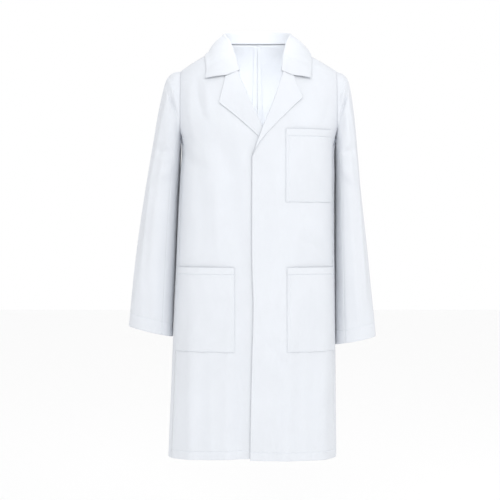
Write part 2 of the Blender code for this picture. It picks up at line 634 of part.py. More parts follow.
# ------------------------------------------------------------------ build
def build():
    for obj in list(bpy.data.objects):
        bpy.data.objects.remove(obj, do_unlink=True)
    for side, name in ((1, "left"), (-1, "right")):
        make_back(side, name)
        make_front(side, name)
        make_facing(side, name)
        make_lapel(side, name)
        make_sleeve(side, name)
    make_fly()
    make_collar()
    make_pocket("chest_pocket", 1, *CHEST_POCKET_X, *CHEST_POCKET_Z)
    make_pocket("left_pocket", 1, HIP_POCKET_IN_L, None, *HIP_POCKET_Z)
    make_pocket("right_pocket", -1, HIP_POCKET_IN_R, None, *HIP_POCKET_Z)
    for i, z in enumerate(BUTTON_Z):
        make_button("button_%d" % (i + 1), z)


build()
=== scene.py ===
"""Looks of the lab coat: every panel is cloth with its own thickness, seams, hems and stitches.

The solids of the frame are replaced, piece by piece, by fine cloth built on the same
trunk and sleeve surfaces, with the same folds under every layer.
"""
import math

import bmesh
import bpy
import numpy as np
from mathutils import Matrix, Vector


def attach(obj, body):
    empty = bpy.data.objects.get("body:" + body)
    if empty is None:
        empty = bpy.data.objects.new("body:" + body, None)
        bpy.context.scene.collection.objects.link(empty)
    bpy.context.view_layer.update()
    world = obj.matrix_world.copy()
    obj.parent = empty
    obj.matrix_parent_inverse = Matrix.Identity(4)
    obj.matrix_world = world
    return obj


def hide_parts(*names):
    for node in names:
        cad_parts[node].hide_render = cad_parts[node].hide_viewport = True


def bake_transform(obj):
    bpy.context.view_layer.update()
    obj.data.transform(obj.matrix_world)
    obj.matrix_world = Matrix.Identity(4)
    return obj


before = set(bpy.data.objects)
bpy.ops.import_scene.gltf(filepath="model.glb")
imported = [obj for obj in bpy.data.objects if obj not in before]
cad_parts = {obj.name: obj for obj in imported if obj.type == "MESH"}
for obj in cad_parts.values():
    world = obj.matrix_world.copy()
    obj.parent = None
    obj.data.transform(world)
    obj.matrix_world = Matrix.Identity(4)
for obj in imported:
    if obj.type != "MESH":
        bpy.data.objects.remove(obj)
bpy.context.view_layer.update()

# ------------------------------------------------------------------ sizes, metres
CLOTH = 0.0006
NECK_POINT_Z = 0.006
NECK_BACK_Z = 0.0144
ARMHOLE_X_L, ARMHOLE_X_R = 0.1965, 0.1915
ARMHOLE_BOTTOM = -0.2435
SIDE_SEAM_ANGLE = math.radians(76.0)
HEM_SIDE, HEM_LEFT_CF, HEM_RIGHT_CF, HEM_BACK = -1.0175, -1.0120, -1.0055, -1.0200
FRONT_EDGE_L = ([-0.276, -0.55, -0.63, -0.78, -1.03], [-0.0134, -0.0134, -0.0106, -0.0142, -0.0190])
FRONT_EDGE_R_OFFSET = 0.0465
BREAK_L, BREAK_R = -0.2763, -0.2620
ROLL_L = ([0.006, -0.060, -0.1295, -0.2109, -0.2763], [0.0860, 0.0665, 0.0446, 0.0122, -0.0134])
ROLL_R = ([0.006, -0.0476, -0.1295, -0.2109, -0.2620], [-0.0860, -0.0602, -0.0251, 0.0122, 0.0331])
GORGE_Z = -0.070
NOTCH_SHARE = 0.36               # where on the collar's front end the lapel leaves it
NOTCH_DROP = 0.0065
COLLAR_NARROWER = 0.0085         # the fall lies closer to the neck on the wearer's right
LAYER_RIGHT_FACING = -0.0012
LAYER_FLY = 0.0035
LAYER_LEFT_FACING = 0.0046
LAYER_LEFT_FRONT = 0.0057
FACING_WIDTH = 0.066
CENTRE_FRONT_X = 0.0085
BUTTON_Z = (-0.312, -0.445, -0.560, -0.675, -0.790)
BUTTON_R, BUTTON_T = 0.0075, 0.0024
FLY_WIDTH, FLY_BOTTOM = 0.042, -0.900
CHEST_POCKET_Z = (-0.2100, -0.3870)
CHEST_POCKET_X = (0.0673, 0.1805)
HIP_POCKET_Z = (-0.5460, -0.7515)
HIP_POCKET_IN_L, HIP_POCKET_IN_R = 0.0705, -0.0560
POCKET_HEM = 0.017
HEM = 0.020
HALF = CLOTH / 2
STITCH_SINK = 0.0003             # how far a row of stitches lies below the cloth's face
FRONT_STITCH = 0.0060            # rows of stitches, from the edge they hold
FOLD_STITCH = 0.0055
POCKET_STITCHES = (0.0018, 0.008)

# ------------------------------------------------------------------ camera, floor and light
EYE = Vector((-0.0188, -4.0, -0.4425))
AIM = Vector((-0.0188, 0.0, -0.5050))
VIEW_WIDTH_AT_COAT = 1.25
FLOOR_Z, FLOOR_SIZE, FLOOR_SHADE = -1.45, 30, 0.96
# place, target, size, power in watts and colour
AREA_LIGHTS = {
    "key": ((1.5, -3.0, 1.2), (0.0, 0, -0.35), (0.8, 0.8), 20, (1.0, 0.99, 0.98)),
    "front": ((-0.2, -3.2, 1.5), (0.0, 0, -0.15), (1.2, 1.2), 26, (1.0, 1.0, 1.0)),
    "inside": ((0.0, -0.045, -0.17), (0.0, 0.12, -0.02), (0.08, 0.05), 0.26, (1.0, 1.0, 1.0))}
NECK_LIGHT, NECK_TARGET, NECK_POWER, NECK_CONE = (0.0, -0.34, 0.42), (0.0, 0.085, -0.075), 4.5, 34


def make_camera():
    data = bpy.data.cameras.new("camera")
    data.sensor_width = 36.0
    data.lens = data.sensor_width * (AIM - EYE).length / VIEW_WIDTH_AT_COAT
    cam = bpy.data.objects.new("camera", data)
    cam.location = EYE
    cam.rotation_euler = (AIM - EYE).to_track_quat("-Z", "Y").to_euler()
    bpy.context.scene.collection.objects.link(cam)
    bpy.context.scene.camera = cam


def area_light(name, place, target, size, power, colour):
    data = bpy.data.lights.new(name, "AREA")
    data.shape = "RECTANGLE"
    data.size, data.size_y = size
    data.energy = power
    data.color = colour
    light = bpy.data.objects.new(name, data)
    light.location = place
    light.rotation_euler = (Vector(target) - Vector(place)).to_track_quat("-Z", "Y").to_euler()
    bpy.context.scene.collection.objects.link(light)
    return light


def neck_light():
    """A soft spot that looks down through the neck on to the inside of the back."""
    data = bpy.data.lights.new("neck", "SPOT")
    data.energy = NECK_POWER
    data.spot_size = math.radians(NECK_CONE)
    data.spot_blend = 1.0
    data.shadow_soft_size = 0.06
    light = bpy.data.objects.new("neck", data)
    light.location = NECK_LIGHT
    aim = Vector(NECK_TARGET) - light.location
    light.rotation_euler = aim.to_track_quat("-Z", "Y").to_euler()
    light.visible_camera = False
    bpy.context.scene.collection.objects.link(light)


def make_studio():
    bpy.ops.mesh.primitive_plane_add(size=FLOOR_SIZE, location=(0, 0, FLOOR_Z))
    floor = bpy.context.object
    floor.name = "floor"
    paint = bpy.data.materials.new("floor_paint")
    paint.use_nodes = True
    shader = paint.node_tree.nodes["Principled BSDF"]
    shader.inputs["Base Color"].default_value = (FLOOR_SHADE, FLOOR_SHADE, FLOOR_SHADE, 1)
    shader.inputs["Roughness"].default_value = 0.9
    floor.data.materials.append(paint)
    world = bpy.data.worlds.new("studio")
    world.use_nodes = True
    sky = world.node_tree.nodes["Background"]
    sky.inputs["Color"].default_value = (1.0, 1.0, 1.0, 1)
    sky.inputs["Strength"].default_value = 1.0
    bpy.context.scene.world = world
    bpy.context.scene.view_settings.view_transform = "Standard"
    for name, values in AREA_LIGHTS.items():
        light = area_light(name, *values)
        light.visible_camera = name != "inside"
    neck_light()


# ------------------------------------------------------------------ curves and noise
def curve(at, knots, values):
    """Smooth curve through values at knots, for scalars or arrays."""
    k, v = np.asarray(knots, float), np.asarray(values, float)
    if k[0] > k[-1]:
        k, v = k[::-1], v[::-1]
    d = np.diff(v, axis=0) / np.diff(k).reshape((-1,) + (1,) * (v.ndim - 1))
    m = np.concatenate([d[:1], (d[1:] + d[:-1]) / 2, d[-1:]])
    x = np.clip(np.asarray(at, float), k[0], k[-1])
    i = np.clip(np.searchsorted(k, x, side="right") - 1, 0, len(k) - 2)
    h = (k[i + 1] - k[i])
    t = (x - k[i]) / h
    if v.ndim > 1:
        t, h = np.asarray(t)[..., None], np.asarray(h)[..., None]
    return ((2 * t**3 - 3 * t**2 + 1) * v[i] + (t**3 - 2 * t**2 + t) * h * m[i]
            + (3 * t**2 - 2 * t**3) * v[i + 1] + (t**3 - t**2) * h * m[i + 1])


def smooth(x):
    x = np.clip(x, 0.0, 1.0)
    return x * x * (3 - 2 * x)


def ripple(u, v, seed, longest, count=14, stretch=2.2):
    """Gentle random waves over a cloth, longer down the v direction; about -1 to 1."""
    rng = np.random.default_rng(seed)
    total = np.zeros(np.broadcast(u, v).shape)
    for i in range(count):
        wave = longest / (1 + 0.22 * i)
        turn = rng.normal(0, 0.55)
        a, b = math.cos(turn), math.sin(turn) / stretch
        total += np.sin((u * a + v * b) * 2 * math.pi / wave + rng.uniform(0, 6.28)) / (1 + 0.3 * i)
    return total / (count ** 0.5)


def ridge(u, v, points, width, height):
    """A soft fold along a line of points, fading at both ends."""
    p = np.asarray(points, float)
    lengths = np.linalg.norm(np.diff(p, axis=0), axis=1)
    run = np.concatenate([[0], np.cumsum(lengths)])
    best = np.full(np.broadcast(u, v).shape, 1e9)
    at = np.zeros_like(best)
    for i in range(len(p) - 1):
        d = p[i + 1] - p[i]
        t = np.clip(((u - p[i, 0]) * d[0] + (v - p[i, 1]) * d[1]) / (lengths[i] ** 2), 0, 1)
        far = np.hypot(u - p[i, 0] - t * d[0], v - p[i, 1] - t * d[1])
        nearer = far < best
        best = np.where(nearer, far, best)
        at = np.where(nearer, (run[i] + t * lengths[i]) / run[-1], at)
    fade = np.sin(np.pi * np.clip(at, 0.0, 1.0)) ** 0.7
    return height * np.exp(-(best / width) ** 2) * fade


# ------------------------------------------------------------------ trunk surface
Z_KNOTS = (0.05, 0.02, 0.006, -0.02, -0.045, -0.0585, -0.075, -0.10, -0.14, -0.19, -0.2435,
           -0.32, -0.42, -0.55, -0.75, -0.90, -1.04)
HALF_L = (0.070, 0.0795, 0.0860, 0.1306, 0.1735, 0.1945, 0.2075, 0.2150, 0.2165, 0.2105, 0.1940,
          0.1920, 0.1908, 0.1921, 0.1941, 0.1956, 0.1970)
HALF_R = (0.070, 0.0795, 0.0860, 0.1306, 0.1715, 0.1900, 0.2025, 0.2100, 0.2115, 0.2055, 0.1895,
          0.1930, 0.1980, 0.2033, 0.2116, 0.2177, 0.2235)
FRONT_DEPTH = (0.050, 0.058, 0.064, 0.078, 0.091, 0.098, 0.105, 0.114, 0.1235, 0.1315, 0.1350,
               0.1340, 0.1285, 0.1270, 0.1320, 0.1360, 0.1400)
BACK_DEPTH = (0.071, 0.0745, 0.0820, 0.0950, 0.1055, 0.1100, 0.1145, 0.1200, 0.1255, 0.1280, 0.1270,
              0.1220, 0.1150, 0.1160, 0.1220, 0.1260, 0.1300)
FULLNESS = (2.0, 2.0, 2.0, 2.05, 2.1, 2.12, 2.16, 2.22, 2.3, 2.38, 2.45,
            2.5, 2.5, 2.5, 2.5, 2.5, 2.5)


def trunk(angle, z):
    """Point on the trunk at an angle round from the centre front, at height z."""
    a, z = np.broadcast_arrays(np.asarray(angle, float), np.asarray(z, float))
    n = curve(z, Z_KNOTS, FULLNESS)
    half = np.where(a >= 0, curve(z, Z_KNOTS, HALF_L), curve(z, Z_KNOTS, HALF_R))
    deep = np.where(np.cos(a) >= 0, curve(z, Z_KNOTS, FRONT_DEPTH), curve(z, Z_KNOTS, BACK_DEPTH))
    r = ((np.abs(np.sin(a)) / half) ** n + (np.abs(np.cos(a)) / deep) ** n) ** (-1 / n)
    return np.stack([r * np.sin(a), -r * np.cos(a), z], -1)


def angle_of(x, z):
    """Angle at which the front reaches x at height z."""
    x, z = np.broadcast_arrays(np.asarray(x, float), np.asarray(z, float))
    n = curve(z, Z_KNOTS, FULLNESS)
    half = np.where(x >= 0, curve(z, Z_KNOTS, HALF_L), curve(z, Z_KNOTS, HALF_R))
    deep = curve(z, Z_KNOTS, FRONT_DEPTH)
    rest = np.clip(1 - (np.abs(x) / half) ** n, 0, 1) ** (1 / n)
    return np.arctan2(x, deep * rest)


# soft folds of each front: points (x, z), width and height
RIGHT_FOLDS = (
    (((-0.148, -0.075), (-0.146, -0.13), (-0.132, -0.19)), 0.0085, -0.0035),
    (((-0.126, -0.080), (-0.122, -0.14), (-0.110, -0.20)), 0.0090, 0.0026),
    (((-0.168, -0.10), (-0.166, -0.17), (-0.150, -0.25)), 0.0100, 0.0022),
    (((-0.125, -0.17), (-0.095, -0.25), (-0.066, -0.33), (-0.058, -0.50)), 0.022, -0.0042),
    (((-0.080, -0.15), (-0.045, -0.24), (-0.020, -0.34), (-0.016, -0.56)), 0.020, 0.0032),
    (((-0.105, -0.33), (-0.098, -0.42), (-0.094, -0.54)), 0.014, 0.0028),
    (((-0.150, -0.27), (-0.140, -0.37), (-0.132, -0.53)), 0.017, -0.0030),
    (((-0.186, -0.25), (-0.165, -0.29), (-0.120, -0.31)), 0.012, -0.0024))
LEFT_FOLDS = (
    (((0.188, -0.55), (0.150, -0.50), (0.105, -0.47)), 0.013, -0.0036),
    (((0.188, -0.50), (0.150, -0.46), (0.110, -0.43)), 0.014, 0.0024),
    (((0.122, -0.36), (0.118, -0.46), (0.124, -0.60)), 0.017, -0.0026),
    (((0.060, -0.25), (0.050, -0.40), (0.052, -0.62)), 0.024, 0.0020),
    (((0.182, -0.12), (0.170, -0.17), (0.150, -0.22)), 0.009, -0.0022),
    (((0.000, -0.70), (0.030, -0.74), (0.070, -0.79)), 0.012, -0.0020),
    (((0.010, -0.77), (0.045, -0.80), (0.095, -0.86)), 0.014, 0.0018))


def folds(angle, z):
    """How far the hanging cloth stands out of, or sinks into, the smooth trunk."""
    p = trunk(angle, z)
    x, around = p[..., 0], np.asarray(angle) * 0.16
    front = smooth((np.cos(angle) - 0.05) / 0.35)
    back = smooth((-np.cos(angle) - 0.05) / 0.35)
    low = smooth((-0.42 - z) / 0.55)
    h = 0.0004 * ripple(around, z, 3, 0.075, 16, 1.6) + 0.0007 * ripple(around, z, 5, 0.19, 8, 3.0)
    for side_folds in (RIGHT_FOLDS, LEFT_FOLDS):
        h += front * sum(ridge(x, z, *fold) for fold in side_folds)
    # flutes of the skirt
    flutes = (np.sin(x / 0.081 * 2 * math.pi + 0.6 + 1.3 * np.sin(z * 5.0))
              + 0.6 * np.sin(x / 0.047 * 2 * math.pi + 2.0 - z * 3.0))
    h += low * (0.0024 * front + 0.0038 * back) * flutes
    h += back * 0.0016 * ripple(x, z, 11, 0.16, 8, 3.5)
    # seams and openings hold the cloth
    calm = smooth((-0.010 - z) / 0.06) * (0.25 + 0.75 * smooth((0.1935 - np.abs(x)) / 0.030))
    return h * calm


def raised(angle, z, lift, folded=True):
    """Point of the folded cloth, moved out along the surface's normal."""
    e = 1e-4
    angle, z = np.asarray(angle, float), np.asarray(z, float)
    p = trunk(angle, z)
    n = np.cross(trunk(angle + e, z) - trunk(angle - e, z), trunk(angle, z + e) - trunk(angle, z - e))
    n /= np.maximum(np.linalg.norm(n, axis=-1, keepdims=True), 1e-12)
    out = np.asarray(lift, float) + (folds(angle, z) if folded else 0.0)
    return p + n * np.broadcast_to(out, np.broadcast(angle, z).shape)[..., None]


def overlap_lift(x, z):
    """The left front rides over the right front's layers near the centre."""
    return LAYER_LEFT_FRONT * smooth((0.105 - x) / 0.070) * smooth((-0.095 - z) / 0.100)


def half_width(z, side):
    return curve(z, Z_KNOTS, HALF_L if side > 0 else HALF_R)


def armhole_x(side):
    return ARMHOLE_X_L if side > 0 else ARMHOLE_X_R


def armhole_end(side, low, high, rising):
    """Height between low and high at which the trunk is as wide as the armhole's plane."""
    for _ in range(40):
        middle = (low + high) / 2
        if (float(half_width(middle, side)) > armhole_x(side)) == rising:
            high = middle
        else:
            low = middle
    return (low + high) / 2


def armhole_tip(side):
    return armhole_end(side, -0.12, 0.0, False)


def armhole_angle(z, side, back):
    x = armhole_x(side)
    n = curve(z, Z_KNOTS, FULLNESS)
    half = np.maximum(half_width(z, side), x)
    deep = curve(z, Z_KNOTS, BACK_DEPTH if back else FRONT_DEPTH)
    a = np.arctan2(x, deep * (1 - (x / half) ** n) ** (1 / n))
    return math.pi - a if back else a


# ------------------------------------------------------------------ materials
SEE_THROUGH = 0.14               # share of the cloth's shading that is light from behind


def twill(name, colour, seed):
    """White cotton-polyester twill: fine diagonal ribs, slight shade changes and soft sheen."""
    m = bpy.data.materials.new(name)
    m.use_nodes = True
    tree = m.node_tree
    nodes, links = tree.nodes, tree.links
    shader = nodes["Principled BSDF"]
    place = nodes.new("ShaderNodeTexCoord")

    def node(kind, **values):
        made = nodes.new(kind)
        for key, value in values.items():
            if hasattr(made, key):
                setattr(made, key, value)
            else:
                made.inputs[key.replace("_", " ")].default_value = value
        return made

    # ribs: the UV map is in metres along and across the cloth
    ribs = node("ShaderNodeTexWave", wave_type="BANDS", bands_direction="DIAGONAL", Scale=420.0,
                Distortion=1.2, Detail=2.0)
    links.new(place.outputs["UV"], ribs.inputs["Vector"])
    threads = node("ShaderNodeTexNoise", Scale=1500.0, Detail=3.0)
    links.new(place.outputs["UV"], threads.inputs["Vector"])
    slubs = node("ShaderNodeTexNoise", Scale=55.0, Detail=5.0, Roughness=0.62)
    links.new(place.outputs["UV"], slubs.inputs["Vector"])
    shade = node("ShaderNodeTexNoise", Scale=9.0 + seed, Detail=3.0)
    links.new(place.outputs["UV"], shade.inputs["Vector"])

    tone = nodes.new("ShaderNodeMapRange")
    tone.inputs["To Min"].default_value = 0.955
    tone.inputs["To Max"].default_value = 1.03
    links.new(shade.outputs["Fac"], tone.inputs["Value"])
    rib_tone = nodes.new("ShaderNodeMapRange")
    rib_tone.inputs["To Min"].default_value = 0.965
    rib_tone.inputs["To Max"].default_value = 1.0
    links.new(ribs.outputs["Fac"], rib_tone.inputs["Value"])
    both = node("ShaderNodeMath", operation="MULTIPLY")
    links.new(tone.outputs["Result"], both.inputs[0])
    links.new(rib_tone.outputs["Result"], both.inputs[1])
    tint = node("ShaderNodeMix", data_type="RGBA", blend_type="MULTIPLY")
    tint.inputs["Factor"].default_value = 1.0
    tint.inputs["A"].default_value = (*colour, 1)
    links.new(both.outputs[0], tint.inputs["B"])
    links.new(tint.outputs["Result"], shader.inputs["Base Color"])

    rough = nodes.new("ShaderNodeMapRange")
    rough.inputs["To Min"].default_value = 0.72
    rough.inputs["To Max"].default_value = 0.90
    links.new(slubs.outputs["Fac"], rough.inputs["Value"])
    links.new(rough.outputs["Result"], shader.inputs["Roughness"])
    shader.inputs["Sheen Weight"].default_value = 0.18
    shader.inputs["Sheen Roughness"].default_value = 0.45
    shader.inputs["Specular IOR Level"].default_value = 0.25

    creases = node("ShaderNodeBump", Strength=0.35, Distance=0.0012)
    links.new(slubs.outputs["Fac"], creases.inputs["Height"])
    weave = node("ShaderNodeBump", Strength=0.55, Distance=0.00022)
    links.new(ribs.outputs["Fac"], weave.inputs["Height"])
    links.new(creases.outputs["Normal"], weave.inputs["Normal"])
    fuzz = node("ShaderNodeBump", Strength=0.30, Distance=0.00012)
    links.new(threads.outputs["Fac"], fuzz.inputs["Height"])
    links.new(weave.outputs["Normal"], fuzz.inputs["Normal"])
    links.new(fuzz.outputs["Normal"], shader.inputs["Normal"])

    # thin cloth lets some of the light behind it through
    glow = nodes.new("ShaderNodeBsdfTranslucent")
    links.new(tint.outputs["Result"], glow.inputs["Color"])
    links.new(fuzz.outputs["Normal"], glow.inputs["Normal"])
    thin = nodes.new("ShaderNodeMixShader")
    thin.inputs["Fac"].default_value = SEE_THROUGH
    links.new(shader.outputs["BSDF"], thin.inputs[1])
    links.new(glow.outputs["BSDF"], thin.inputs[2])
    links.new(thin.outputs["Shader"], nodes["Material Output"].inputs["Surface"])
    return m


def thread_material():
    m = bpy.data.materials.new("sewing_thread")
    m.use_nodes = True
    tree = m.node_tree
    shader = tree.nodes["Principled BSDF"]
    noise = tree.nodes.new("ShaderNodeTexNoise")
    noise.inputs["Scale"].default_value = 900
    ramp = tree.nodes.new("ShaderNodeMapRange")
    ramp.inputs["To Min"].default_value = 0.45
    ramp.inputs["To Max"].default_value = 0.65
    tree.links.new(noise.outputs["Fac"], ramp.inputs["Value"])
    tree.links.new(ramp.outputs["Result"], shader.inputs["Roughness"])
    shader.inputs["Base Color"].default_value = (0.80, 0.84, 0.90, 1)
    shader.inputs["Sheen Weight"].default_value = 0.2
    return m


def button_material():
    m = bpy.data.materials.new("pearly_plastic")
    m.use_nodes = True
    tree = m.node_tree
    shader = tree.nodes["Principled BSDF"]
    noise = tree.nodes.new("ShaderNodeTexNoise")
    noise.inputs["Scale"].default_value = 160
    noise.inputs["Detail"].default_value = 4
    mix = tree.nodes.new("ShaderNodeMix")
    mix.data_type = "RGBA"
    mix.inputs["A"].default_value = (0.86, 0.86, 0.83, 1)
    mix.inputs["B"].default_value = (0.93, 0.93, 0.92, 1)
    tree.links.new(noise.outputs["Fac"], mix.inputs["Factor"])
    tree.links.new(mix.outputs["Result"], shader.inputs["Base Color"])
    shader.inputs["Roughness"].default_value = 0.22
    shader.inputs["Coat Weight"].default_value = 0.3
    return m


WHITE = (0.793, 0.819, 0.862)
TWILL = twill("white_twill", WHITE, 0.0)
TWILL_TRIM = twill("white_twill_trim", WHITE, 1.7)
THREAD = thread_material()
PLASTIC = button_material()


# ------------------------------------------------------------------ meshes
def link(name, verts, faces, mat, uvs=None):
    mesh = bpy.data.meshes.new(name)
    mesh.from_pydata(np.asarray(verts).tolist(), [], faces)
    if uvs is not None:
        layer = mesh.uv_layers.new(name="cloth")
        index = np.zeros(len(mesh.loops), int)
        mesh.loops.foreach_get("vertex_index", index)
        layer.data.foreach_set("uv", np.asarray(uvs)[index].astype(np.float32).ravel())
    mesh.materials.append(mat)
    mesh.shade_smooth()
    obj = bpy.data.objects.new(name, mesh)
    bpy.context.scene.collection.objects.link(obj)
    return obj


def flat_map(grid):
    """UV in metres: distance along each row and down the first column."""
    across = np.linalg.norm(np.diff(grid, axis=1), axis=-1)
    u = np.concatenate([np.zeros((len(grid), 1)), np.cumsum(across, axis=1)], 1)
    u -= u.mean(axis=1, keepdims=True)
    down = np.linalg.norm(np.diff(grid, axis=0), axis=-1).mean(axis=1)
    v = -np.concatenate([[0], np.cumsum(down)])
    return np.stack([u, np.broadcast_to(v[:, None], u.shape)], -1)


def cloth(name, outer, inner, mat, holes=None, held="hung", rests_on=()):
    """Closed cloth between two grids, with a UV map of the size measured along it."""
    rows, cols = outer.shape[:2]
    n = rows * cols
    index = np.arange(n).reshape(rows, cols)
    faces, edges = [], set()
    for r in range(rows - 1):
        for c in range(cols - 1):
            if holes is not None and holes[r, c]:
                continue
            f = tuple(int(i) for i in (index[r, c], index[r + 1, c], index[r + 1, c + 1], index[r, c + 1]))
            faces.append(f)
            faces.append(tuple(i + n for i in reversed(f)))
            edges.update((f[i], f[(i + 1) % 4]) for i in range(4))
    faces += [(b, a, a + n, b + n) for a, b in sorted(edges) if (b, a) not in edges]
    uv = flat_map(outer).reshape(-1, 2)
    verts = np.concatenate([outer.reshape(-1, 3), inner.reshape(-1, 3)])
    obj = link(name, verts, faces, mat, np.concatenate([uv, uv + 0.37]))
    return obj


def trunk_cloth(name, angle, z, lift, mat, **declared):
    """Cloth that lies on the trunk, with its middle at the given lift."""
    return cloth(name, raised(angle, z, lift + HALF), raised(angle, z, lift - HALF), mat, **declared)


def face_out(side, *grids):
    """The grids with their columns in the order that turns the cloth's face out."""
    return [g if side > 0 else g[:, ::-1] for g in grids]


def lines(length, step, marks=()):
    """Places of grid lines from 0 to length: even, with close ones about each mark."""
    at = set(np.round(np.linspace(0, length, max(2, int(round(length / step)) + 1)), 6))
    for mark in marks:
        at = {a for a in at if abs(a - mark) > 0.0034 or a in (0.0, round(length, 6))}
        at |= {round(mark + d, 6) for d in (-0.0030, -0.0014, -0.0006, 0.0, 0.0006, 0.0014, 0.0030)
               if 0 < mark + d < length}
    return np.array(sorted(at))


def groove(distance, depth=0.0005, width=0.0010):
    """The dent that a row of stitches pulls into the cloth."""
    return -depth * np.exp(-(np.asarray(distance) / width) ** 2)


def rolled(distance, drop=0.0010, reach=0.0022):
    """How far a turned edge curls in, by distance from the edge."""
    t = np.clip(1 - np.asarray(distance) / reach, 0, 1)
    return -drop * t ** 2.2


STITCHES = {}
THREAD_SIDES, THREAD_RINGS = 5, 4


def stitch(group, points, normals, pitch=0.0034, radius=0.00024):
    """A row of short threads along a line of points, kept for the group's mesh."""
    points, normals = np.asarray(points, float), np.asarray(normals, float)
    run = np.concatenate([[0], np.cumsum(np.linalg.norm(np.diff(points, axis=0), axis=1))])
    for k in range(int(run[-1] / pitch)):
        ends = (k + 0.16) * pitch, (k + 0.84) * pitch
        at = np.linspace(*ends, THREAD_RINGS)
        p = np.stack([np.interp(at, run, points[:, i]) for i in range(3)], 1)
        n = np.stack([np.interp(at, run, normals[:, i]) for i in range(3)], 1)
        n /= np.linalg.norm(n, axis=1, keepdims=True)
        along = (p[-1] - p[0]) / max(np.linalg.norm(p[-1] - p[0]), 1e-9)
        across = np.cross(along, n)
        bow = np.array((-0.9, 0.45, 0.45, -0.9)) * radius
        size = np.array((0.45, 1.0, 1.0, 0.45)) * radius
        turn = np.arange(THREAD_SIDES) / THREAD_SIDES * 2 * math.pi
        rings = (p + n * bow[:, None])[:, None] + size[:, None, None] * (
            np.cos(turn)[None, :, None] * across[:, None] + np.sin(turn)[None, :, None] * n[:, None])
        STITCHES.setdefault(group, []).append(rings)


def make_stitches():
    made = {}
    for group, runs in STITCHES.items():
        verts, faces = [], []
        for rings in runs:
            base = len(verts)
            verts.extend(rings.reshape(-1, 3).tolist())
            sides = range(THREAD_SIDES)
            for r in range(THREAD_RINGS - 1):
                a = base + r * THREAD_SIDES
                for c in sides:
                    d = (c + 1) % THREAD_SIDES
                    faces.append((a + c, a + d, a + THREAD_SIDES + d, a + THREAD_SIDES + c))
            faces.append(tuple(base + c for c in reversed(sides)))
            faces.append(tuple(base + (THREAD_RINGS - 1) * THREAD_SIDES + c for c in sides))
        made[group] = link(group + "_stitches", verts, faces, THREAD)
    return made


def stitch_on_trunk(group, x_or_angle, z, lift, by_angle=False):
    angle = np.asarray(x_or_angle) if by_angle else angle_of(x_or_angle, z)
    z, angle = np.broadcast_arrays(np.asarray(z, float), angle)
    lift = np.broadcast_to(lift, z.shape)
    p = raised(angle, z, lift)
    stitch(group, p, raised(angle, z, lift + 0.01) - p)


def hung(obj, body):
    """Cloth of the coat itself is attached to the coat; all other cloth has its transform baked into its
    mesh.
    """
    if body == "coat":
        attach(obj, "coat")
    else:
        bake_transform(obj)


# ------------------------------------------------------------------ fronts
def front_edge_x(z, side):
    z = np.asarray(z, float)
    edge = curve(z, *FRONT_EDGE_L)
    if side > 0:
        return np.where(z > BREAK_L, curve(z, *ROLL_L), edge)
    return np.where(z > BREAK_R, curve(z, *ROLL_R), edge + FRONT_EDGE_R_OFFSET)


def side_angle(z, side):
    a = armhole_angle(z, side, False)
    return np.where(z > ARMHOLE_BOTTOM, np.where(z < -0.20, np.minimum(a, SIDE_SEAM_ANGLE), a),
                    SIDE_SEAM_ANGLE)


def front_lift(side, angle, z, layer=0.0):
    if side < 0:
        return np.full(np.broadcast(angle, z).shape, layer)
    x = trunk(angle, z)[..., 0]
    return overlap_lift(x, z) + layer


def across_rows(a_angle, a_z, b_angle, b_z, near, count):
    """Rows from one edge to the other: columns at the near distances in metres, then even."""
    s = np.linspace(0, 1, 9)[None, :]
    rough = trunk(a_angle[:, None] * (1 - s) + b_angle[:, None] * s,
                  a_z[:, None] * (1 - s) + b_z[:, None] * s)
    length = np.linalg.norm(np.diff(rough, axis=1), axis=-1).sum(axis=1)[:, None]
    near = np.asarray(near)[None, :]
    rest = np.linspace(0, 1, count + 1)[None, 1:]
    last = near[:, -1:]
    at = np.concatenate([np.broadcast_to(near, (len(a_z), near.shape[1])), last + (length - last) * rest], 1)
    t = at / length
    angle = a_angle[:, None] * (1 - t) + b_angle[:, None] * t
    z = a_z[:, None] * (1 - t) + b_z[:, None] * t
    return angle, z, at, length - at


CHEST_A = (0.006, -0.030, -0.056, -0.085, -0.115, -0.145, -0.178, -0.211, -0.245, BREAK_L)
CHEST_C = (None, -0.072, -0.092, -0.116, -0.140, -0.166, -0.192, -0.216, ARMHOLE_BOTTOM, BREAK_L)


